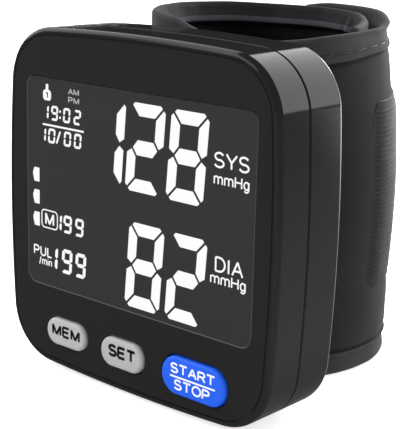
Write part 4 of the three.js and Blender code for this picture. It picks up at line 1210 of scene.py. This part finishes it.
# Each row gives a height, then how far the flap stands out there past a plain round.
flap_swell_rows = [
    (-38.5, 0.1), (-37.5, 0.2), (-36, 0.0), (-34.6, -0.2), (-33.2, 0.45), (-31, 0.7), (-28, 0.73),
    (-24, 0.78), (-21.5, 0.65), (-19, 0.4), (-15, 0.55), (-10, 0.74), (-5, 0.85), (0, 0.88), (5, 0.75),
    (10, 0.45), (15, 0.09), (20, -0.35), (22.5, -0.85), (24, -1.1), (26, -1.36), (28, -1.56), (30, -1.8),
    (31.8, -2.05), (33, -2.3), (34.3, -2.45), (35.5, -2.85), (36.6, -3.25), (37.4, -2.9), (38.4, -2.35),
    (39.5, -2.4),
]

# Each row gives the distance below the rim, then how far the tongue's padding has risen.
pad_rise_rows = [(0, 0), (1.5, 0.35), (3.2, 1.3), (4.6, 1.75), (6.2, 1.3), (8, 1.6), (12, 1.9)]

# Each row gives an angle at which the tongue's rim is dented, and the dent's depth and width.
rim_dents = [(-196, 0.9, 3.0), (-208, 1.4, 3.5), (-219, 0.9, 2.5)]
dent_drop, dent_height = 4.5, 2.6

# Each row gives how high the cloth's unevenness is, its spacing along and up, and where it starts. The
# last is found near the rims only.
cloth_waves = [(0.22, 15, 24, 0), (0.05, 5, 8, 7), (0.14, 4.5, 14, 3)]

# Each gives the angles at which something starts, is full, begins to fade and ends.
flap_swell_span = (52, 96, 128, 168)
hem_rise_span = (55, 112, 150, 190)
tongue_roll_span = (34, 54, 258, 275)

cloth_half = cuff_height / 2
stitch_heights = (cloth_half - stitch_drop, -cloth_half + stitch_drop)
pad_seam_heights = (cloth_half - pad_seam_drop, -cloth_half + pad_seam_drop)
hem_edges = ((cloth_half - hem_heights[0], -1), (-cloth_half + hem_heights[1], 1))


def smooth_step(low, high, value):
    """Rises smoothly from 0 at the first value to 1 at the second."""
    share = min(1, max(0, (value - low) / (high - low)))
    return share * share * (3 - 2 * share)


def plateau(value, start, full, ebb, end):
    """Rises smoothly from 0 to 1, and later falls back to 0."""
    return smooth_step(start, full, value) * (1 - smooth_step(ebb, end, value))


def bell(value, width):
    """A rounded hill, 1 high in its middle."""
    return math.exp(-((value / width) ** 2))


def smooth_curve(rows, at):
    """A smooth curve through rows of place and value."""
    if at <= rows[0][0]:
        return rows[0][1]
    if at >= rows[-1][0]:
        return rows[-1][1]
    i = max(k for k in range(len(rows)) if rows[k][0] <= at)
    (x0, y0), (x1, y1) = rows[i], rows[i + 1]
    before = rows[i - 1] if i > 0 else rows[i]
    after = rows[i + 2] if i + 2 < len(rows) else rows[i + 1]
    slope0 = (y1 - before[1]) / (x1 - before[0]) * (x1 - x0)
    slope1 = (after[1] - y0) / (after[0] - x0) * (x1 - x0)
    t = (at - x0) / (x1 - x0)
    rise = 3 * t**2 - 2 * t**3
    return y0 * (1 - rise) + y1 * rise + (t**3 - 2 * t**2 + t) * slope0 + (t**3 - t**2) * slope1


def on_circle(degrees, radius=cuff_radius):
    """A point round the cuff, at an angle from its near side that grows to the right."""
    angle = math.radians(degrees)
    return Vector((cuff_x + math.sin(angle) * radius, cuff_y - math.cos(angle) * radius, 0))


def flap_swell(angle, z):
    """How far the flap's cloth stands out past a plain round."""
    return plateau(angle, *flap_swell_span) * smooth_curve(flap_swell_rows, z)


def no_swell(angle, z):
    """The tongue follows its route as it is."""
    return 0


def hem_lift(angle, height):
    """How far the flap's top hem has crept up, most at its edge and least at the rim and the wall."""
    edge = hem_edges[0][0]
    up = plateau(height, edge - hem_rise_reach, edge, edge, cloth_half)
    return hem_edge_rise * plateau(angle, *hem_rise_span) * up


def cloth_spot(station, depth, height, rim_rows, swell_of):
    """A point of the cloth, at a depth behind its outer face and a height on its section."""
    angle, place, outward = station[:3]
    rim_z = smooth_curve(rim_rows, angle)
    z = foot_z + (height / cuff_height + 0.5) * (rim_z - foot_z) + hem_lift(angle, height)
    spot = place - outward * (depth - swell_of(angle, z))
    spot.z = z
    return spot


def cuff_route(end_angle, share_of):
    """Stations along the cloth's outer face: angle, place, outward direction and length so far."""
    sense = math.copysign(1, end_angle)
    start = seam_angle + sense * math.degrees(cut_gap / cuff_radius)
    steps = round(abs(end_angle - start) / route_step_angle)
    angles = [start + (end_angle - start) * i / steps for i in range(steps + 1)]
    places = [on_circle(a, cuff_radius * share_of(a)) for a in angles]
    rows = []
    length = 0
    for i, (angle, place) in enumerate(zip(angles, places)):
        tangent = (places[min(i + 1, steps)] - places[max(i - 1, 0)]).normalized()
        length += (place - places[i - 1]).length if i else 0
        rows.append((angle, place, Vector((tangent.y, -tangent.x, 0)) * sense, length))
    return rows


def side_heights():
    """Heights up one side of the cloth, closer together at the hems' edges and at the seams."""
    low, high = -cloth_half + flap_thickness / 2, cloth_half - flap_thickness / 2
    rows = {low, high}
    height = low
    while height < high:
        rows.add(round(height, 3))
        height += cloth_step
    for edge, direction in hem_edges:
        rows |= {edge + direction * edge_width * i for i in (-4, -2, -1, 0, 0.5, 1, 2, 3, 5)}
    for lines, width in ((stitch_heights, stitch_groove_width), (pad_seam_heights, pad_seam_width)):
        rows |= {line + i * width / 2 for line in lines for i in range(-3, 4)}
    return sorted(rows)


def outer_depth(height):
    """How far the outer face lies behind its greatest reach: hems, their free edges and stitches."""
    past_edges = [(height - edge) * direction for edge, direction in hem_edges]
    depth = hem_step + sum(edge_swell * math.exp(-max(0, past) / edge_swell_width) for past in past_edges)
    for past in past_edges:
        depth *= smooth_step(0, edge_width, past)
    return depth + stitch_groove * sum(bell(height - line, stitch_groove_width) for line in stitch_heights)


def cloth_wrinkle(length, height, seed):
    """Soft unevenness of the cloth, the same at every run."""
    broad, fine, tight = (
        rise * noise.noise(Vector((length / along, height / up, seed + start)))
        for rise, along, up, start in cloth_waves
    )
    near_edge = smooth_step(cloth_half - 11, cloth_half - 3, abs(height))
    return smooth_step(0, calm_length, length) * (broad + fine + near_edge * tight)


def cloth_kind(side, height, turn, lined):
    """Which cloth shows at a place on the section: 0 wall, 1 hem in a lighter copy as painted light, 2 roll,
    3 near-black painted shade, 4 a lighter band of painted highlight.
    """
    if side in ("top", "bottom"):
        outer_half = turn < math.pi / 2 if side == "top" else turn > math.pi / 2
        return 1 if outer_half or not lined else 0
    if side == "outer" or not lined:
        return 1 if any((height - edge) * direction < 0 for edge, direction in hem_edges) else 0
    below = cloth_half - abs(height)
    if below < roll_start:
        return 0
    if roll_highlight_drop < below < roll_highlight_drop + roll_highlight_width:
        return 4
    return 2 if below < roll_highlight_drop + 1 else 3


def cloth_band(route, thin, pad_of, seed, rim_rows, swell_of, lined):
    """A closed strip of cloth along a route, hemmed, with a rounded free end."""
    heights = side_heights()
    radius = thin / 2
    turns = [math.pi * i / rim_steps for i in range(1, rim_steps)]
    section = [("outer", height, 0) for height in heights]
    section += [("top", 0, turn) for turn in turns]
    section += [("inner", height, 0) for height in reversed(heights)]
    section += [("bottom", 0, turn) for turn in turns]
    shape = bmesh.new()
    layer = shape.verts.layers.float_vector.new("cloth_place")
    last_angle, last_place, last_outward, total_length = route[-1]
    round_start = total_length - radius
    forward = (last_place - route[-2][1]).normalized()
    stations = [(row, 1) for row in route if row[3] < round_start]
    for turn in end_turns:
        length = round_start + radius * math.sin(turn)
        place = last_place + forward * (length - total_length)
        stations.append(((last_angle, place, last_outward, length), math.cos(turn)))
    rings = []
    for station, fullness in stations:
        angle, length = station[0], station[3]
        ring = []
        for side, height, turn in section:
            if side == "outer":
                depth = outer_depth(height)
            elif side == "inner":
                depth = thin + pad_of(angle, height)
            else:
                sense = 1 if side == "top" else -1
                depth = radius - sense * radius * math.cos(turn)
                height = sense * (cloth_half - radius + radius * math.sin(turn))
            held = max(-cloth_half + radius, min(cloth_half - radius, height))
            wobble = cloth_wrinkle(length, held, seed) * min(1, fullness * 2)
            depth = radius + (depth - radius) * fullness - wobble
            drawn_in = height * (1 - (1 - fullness) * radius / cloth_half)
            vertex = shape.verts.new(cloth_spot(station, depth, drawn_in, rim_rows, swell_of) * MM)
            vertex[layer] = Vector((length, height if side in ("outer", "top") else -height, 0)) * MM
            ring.append(vertex)
        rings.append(ring)
    for (station, fullness), first, second in zip(stations, rings, rings[1:]):
        for i, (side, height, turn) in enumerate(section):
            j = (i + 1) % len(section)
            face = shape.faces.new((first[i], first[j], second[j], second[i]))
            face.material_index = cloth_kind(side, height, turn, lined(station[0]))
            face.smooth = True
    fill(shape, rings[0])
    fill(shape, rings[-1])
    for first, second in zip(rings[0], [*rings[0][1:], rings[0][0]]):
        shape.edges.get((first, second)).smooth = False
    return to_mesh(shape)


def seam_groove(height):
    """The sewn seam that closes the padding, below the rim."""
    return pad_seam_depth * bell(cloth_half - abs(height) - pad_seam_drop, pad_seam_width)


def sleeve_pad(angle, height):
    """How far the padding stands out towards the wrist."""
    fullness = 1 - smooth_step(pad_start_angle, root_angle, abs(angle))
    shoulder = cloth_half - rim_height
    rise = 1 - smooth_step(shoulder - crown_rise, shoulder, abs(height))
    return fullness * ((sleeve_thickness - flap_thickness) * rise - seam_groove(height))


def tongue_pad(angle, height):
    """The tongue's padding, a soft roll that begins below its rim, with its dents."""
    below = cloth_half - abs(height)
    roll = smooth_curve(pad_rise_rows, below) - seam_groove(height)
    roll *= plateau(abs(angle), *tongue_roll_span)
    dent = sum(deep * bell(angle - at, wide) for at, deep, wide in rim_dents)
    fold = dent * bell(below - dent_drop, dent_height) if height > 0 else 0
    return max(sleeve_pad(angle, height), roll) - fold


# A plain weave: warp threads pass over weft threads in turn, and the dye is a little blotchy.
weave, given = group_with("weave", ("Colour", "Threads per metre", "Unevenness"), ("Colour", "Height"))
place = add_node(weave, "Attribute", attribute_name="cloth_place")["Vector"]
parts = add_node(weave, "SeparateXYZ", {"Vector": place})
turns = product(weave, given["Threads per metre"], math.pi)
warp = calculate(weave, "SINE", product(weave, parts["X"], turns))
weft = calculate(weave, "SINE", product(weave, parts["Y"], turns))
over = calculate(weave, "GREATER_THAN", product(weave, warp, weft), 0)
under = calculate(weave, "SUBTRACT", 1, over)
warp_height = product(weave, calculate(weave, "ABSOLUTE", warp), over)
threads = total(weave, warp_height, product(weave, calculate(weave, "ABSOLUTE", weft), under))
blotches = add_node(weave, "TexNoise", {"Vector": place, "Scale": 60.0, "Detail": 4.0})[0]
shade_range = {
    "Value": total(weave, product(weave, threads, 0.35), blotches),
    "From Min": 0.2,
    "From Max": 1.1,
    "To Min": calculate(weave, "SUBTRACT", 1, given["Unevenness"]),
    "To Max": total(weave, 1, given["Unevenness"]),
}
shading = {0: given["Colour"], "Scale": add_node(weave, "MapRange", shade_range)}
shaded = add_node(weave, "VectorMath", shading, operation="SCALE")
add_node(weave, "NodeGroupOutput", {"Colour": shaded, "Height": threads})


def woven(name, colour, uneven, sheen):
    """A cloth material."""
    given = {"Colour": (*colour, 1), "Threads per metre": threads_per_metre, "Unevenness": uneven}
    shine = {**cloth_shine, "Sheen Weight": sheen}
    return surfaced(name, weave, given, cloth_relief, cloth_bump, shine)


cuff_cloths = [
    woven("charcoal_cloth", cuff_slate, 0.05, 0.05),
    woven("hem_cloth_painted_light", hem_painted_light_grey, 0.12, 0.05),
    woven("navy_cloth", cuff_navy, 0.15, 0.04),
    woven("painted_interior_shade", cuff_interior_painted_shade, 0.15, 0.0),
    woven("painted_roll_highlight", roll_painted_highlight, 0.15, 0.04),
]

wrap_route = cuff_route(flap_end_angle, lambda angle: 1)
wrap_mesh = cloth_band(
    wrap_route,
    flap_thickness,
    sleeve_pad,
    flap_seed,
    flap_rim_rows,
    flap_swell,
    lambda angle: angle < root_angle + 4,
)
cuff_wrap = new_piece("cuff_wrap", wrap_mesh, *cuff_cloths)
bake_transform(cuff_wrap)
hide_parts("cuff_sleeve", "cuff_flap")

tongue_end_angle = -tongue_route_shares[-1][0]
tongue_route = cuff_route(tongue_end_angle, lambda angle: smooth_curve(tongue_route_shares, abs(angle)))
tongue_mesh = cloth_band(
    tongue_route,
    tongue_thickness,
    tongue_pad,
    tongue_seed,
    tongue_rim_rows,
    no_swell,
    lambda angle: True,
)
cuff_inner_end = new_piece("cuff_inner_end", tongue_mesh, *cuff_cloths)
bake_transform(cuff_inner_end)
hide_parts("cuff_tongue")

# Stitches
# Lock stitches of a slightly lighter polyester thread, one row along each hem of the band. They lie
# in the channel that they pull into the cloth, and dip into a needle's hole at each end, whose shade is
# painted as a small near-black mark.

thread_radius = 0.18
thread_end_share = 0.55
thread_sink = 0.12
thread_bow = 0.17
stitch_length = 5.0
stitch_pitch = 5.7
stitch_steps = 6
first_stitch_angle = 20
last_stitch_angle = flap_end_angle - 3
thread_sides = 6
hole_radius = 0.3
hole_levels = ((0.3, 0.4), (0.05, 1), (-0.02, 0.8), (-0.03, 0.3))
# Painted shade: near-black marks in the needle holes, standing for the shade in them.
hole_painted_shade_black = (0.003, 0.003, 0.004)
thread_grey = (0.036, 0.0365, 0.041)

thread_finish = moulded("polyester_thread", thread_grey, 0.55, grain=6000, relief=0.004, uneven=0.1)
hole_painted_shade_finish = moulded("needle_hole_shade", hole_painted_shade_black, 0.9, relief=0.001)


def flap_length(angle):
    """The length along the wrap from its cut end to an angle."""
    return math.radians(angle - seam_angle) * cuff_radius


def flap_spot(angle, depth, height):
    """A point of the wrap's cloth, at any angle."""
    place = on_circle(angle)
    outward = (place - Vector((cuff_x, cuff_y, 0))).normalized()
    return cloth_spot((angle, place, outward), depth, height, flap_rim_rows, flap_swell)


def add_tube(shape, rings, whole_ends=True):
    """A closed tube through rings of points."""
    loops = [[shape.verts.new(point * MM) for point in ring] for ring in rings]
    bridge(shape, loops)
    for end in (loops[0], loops[-1]):
        if whole_ends:
            shape.faces.new(end)
        else:
            fill(shape, end)


pitch_angle = math.degrees(stitch_pitch / cuff_radius)
stitch_angle = math.degrees(stitch_length / cuff_radius)
thread_turns = [2 * math.pi * k / thread_sides for k in range(thread_sides)]
threads_shape = bmesh.new()
hole_shade_shape = bmesh.new()
for row, height in enumerate(stitch_heights):
    start = first_stitch_angle + row * pitch_angle / 2
    while start + stitch_angle < last_stitch_angle:
        rings = []
        for i in range(stitch_steps + 1):
            share = i / stitch_steps
            angle = start + stitch_angle * share
            bow = math.sin(math.pi * share) ** 0.5
            width = thread_radius * (thread_end_share + (1 - thread_end_share) * bow)
            middle = outer_depth(height) - cloth_wrinkle(flap_length(angle), height, flap_seed)
            middle += thread_sink - thread_bow * bow
            around = [(width * math.cos(t), width * math.sin(t)) for t in thread_turns]
            rings.append([flap_spot(angle, middle - out, height + up) for out, up in around])
        add_tube(threads_shape, rings)
        hole_angle = start + (pitch_angle + stitch_angle) / 2
        depth = outer_depth(height) - cloth_wrinkle(flap_length(hole_angle), height, flap_seed)
        rings = []
        for sink, share in hole_levels:
            side = hole_radius * share
            ring = []
            for turn in thread_turns:
                angle = hole_angle + math.degrees(side * math.cos(turn) / cuff_radius)
                ring.append(flap_spot(angle, depth + sink, height + side * math.sin(turn)))
            rings.append(ring)
        add_tube(hole_shade_shape, rings)
        start += pitch_angle
stitches = new_piece("hem_stitches", to_mesh(threads_shape), thread_finish)
stitches.data.shade_smooth()
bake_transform(stitches)
painted_hole_shade_marks = new_piece("painted_hole_shade_marks", to_mesh(hole_shade_shape), hole_painted_shade_finish)
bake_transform(painted_hole_shade_marks)

# Hook patch
# A moulded fastening patch sewn on the flap: a thin base with close ribs across it, and round corners.

patch_start_angle = 90.6
patch_end_angle = 150
patch_height = 43
patch_middle = 1.4
patch_corner = 3.4
patch_base_height = 0.42
patch_edge = ((0.3, 0), (0.07, 0.1), (0, 0.3))
patch_sink = 0.3
patch_rise_shares = (-0.02, 0.2)
patch_end_share = 0.012
patch_trim = 1.0
patch_steps = 60
patch_half_steps = 20
rib_run_out = 0.04
patch_rib_pitch = 1.1
patch_rib_height = 0.16
patch_rib_share = 0.62
patch_rib_steps = 48
patch_rib_section = ((None, -1), (0.7, -0.7), (1, -0.3), (1, 0.3), (0.7, 0.7), (None, 1))
patch_rib_root = 0.08
patch_olive = (0.0078, 0.008, 0.0061)


def strip_on_flap(shape, start_angle, end_angle, section_of, steps):
    """A closed bar along an arc of the flap, from the section at each share of its length."""
    rings = []
    for i in range(steps + 1):
        angle = start_angle + (end_angle - start_angle) * (i / steps)
        length = flap_length(angle)
        rings.append(
            [
                flap_spot(angle, depth - cloth_wrinkle(length, height, flap_seed), height)
                for depth, height in section_of(i / steps)
            ]
        )
    add_tube(shape, rings, whole_ends=False)


def corner_cut(distance, radius):
    """How much a rounded corner takes off the height at a distance from the end."""
    return radius - math.sqrt(max(0, radius**2 - (radius - min(distance, radius)) ** 2))


def patch_front(share):
    """The depth of the base's face, which comes up out of the cloth slowly from the left."""
    rise = smooth_step(*patch_rise_shares, share) * smooth_step(0, patch_end_share, 1 - share)
    return hem_step - patch_base_height * rise


def patch_section(share):
    """The base plate's section, narrowed where the corners are rounded."""
    distance = min(share, 1 - share) * patch_length
    half = patch_height / 2 - corner_cut(distance, patch_corner)
    front = patch_front(share)
    steps = range(-patch_half_steps, patch_half_steps + 1)
    side = [patch_middle + half * step / patch_half_steps for step in steps]
    face = [(front + back, side[0] + inset) for back, inset in patch_edge]
    face += [(front, height) for height in side[1:-1]]
    face += [(front + back, side[-1] - inset) for back, inset in reversed(patch_edge)]
    return face + [(hem_step + patch_sink, height) for height in reversed(side)]


shape = bmesh.new()
patch_length = math.radians(patch_end_angle - patch_start_angle) * cuff_radius
strip_on_flap(shape, patch_start_angle, patch_end_angle, patch_section, patch_steps)
rib_count = int((patch_height - 3 * patch_rib_pitch) / patch_rib_pitch)
for rib in range(rib_count):
    from_middle = (rib - (rib_count - 1) / 2) * patch_rib_pitch
    trim = patch_trim + corner_cut(patch_height / 2 - abs(from_middle), patch_corner)
    trim_angle = math.degrees(trim / cuff_radius)

    def rib_section(share, middle=patch_middle + from_middle, trim=trim):
        """One low rib, whose ends run out into the base."""
        rise = patch_rib_height * smooth_step(0, rib_run_out, min(share, 1 - share))
        half = patch_rib_pitch * patch_rib_share / 2
        front = patch_front((trim + share * (patch_length - 2 * trim)) / patch_length)
        return [
            (front - (rise * up if up else -patch_rib_root), middle + across * half)
            for up, across in patch_rib_section
        ]

    strip_on_flap(
        shape, patch_start_angle + trim_angle, patch_end_angle - trim_angle, rib_section, patch_rib_steps
    )
patch_plastic = moulded("olive_patch", patch_olive, 0.6, relief=0.002, uneven=0.15, Specular_IOR_Level=0.15)
hook_patch = new_piece("ribbed_patch", to_mesh(shape), patch_plastic)
smooth_moulding(hook_patch, 50)
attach(hook_patch, "flap")
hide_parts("hook_patch")

# Hook strip
# A strip of small nylon hooks sewn inside the flap's free end. It grips the looped cloth of the
# tongue, and holds the cuff closed.

strip_start_angle = 168
strip_end_angle = 200
strip_height = 48
strip_base = 0.35
strip_sink = 0.05
strip_steps = 24
hook_pitch = 1.5
hook_radius = 0.28
hook_rows = ((0, 0, 1), (0.3, 0.05, 0.75), (0.45, 0.3, 0.6))
hook_turns = [math.pi * i / 3 for i in range(6)]
nylon_black = (0.02, 0.02, 0.021)

hook_nylon = moulded("hook_strip_nylon", nylon_black, 0.6, grain=2200, relief=0.15, uneven=0.1)
shape = bmesh.new()
front, back, half = flap_thickness - strip_sink, flap_thickness + strip_base, strip_height / 2
section = [(back, -half), (back, half), (front, half), (front, -half)]
strip_on_flap(shape, strip_start_angle, strip_end_angle, lambda share: section, strip_steps)
pitch_angle = math.degrees(hook_pitch / cuff_radius)
for column in range(int((strip_end_angle - strip_start_angle) / pitch_angle)):
    for row in range(int(strip_height / hook_pitch)):
        angle = strip_start_angle + (column + 0.5) * pitch_angle
        height = -half + (row + 0.5 + 0.25 * (column % 2)) * hook_pitch
        base = flap_spot(angle, back - strip_sink, height)
        outward = (on_circle(angle) - Vector((cuff_x, cuff_y, 0))).normalized()
        along = Vector((-outward.y, outward.x, 0))
        rings = []
        for rise, shift, share in hook_rows:
            centre = base - outward * rise + along * shift
            sides = [along * math.cos(t) + Vector((0, 0, math.sin(t))) for t in hook_turns]
            rings.append([centre + side * hook_radius * share for side in sides])
        add_tube(shape, rings)
hooked_strip = new_piece("hooked_strip", to_mesh(shape), hook_nylon)
smooth_moulding(hooked_strip, 40)
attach(hooked_strip, "flap")
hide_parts("hook_strip")
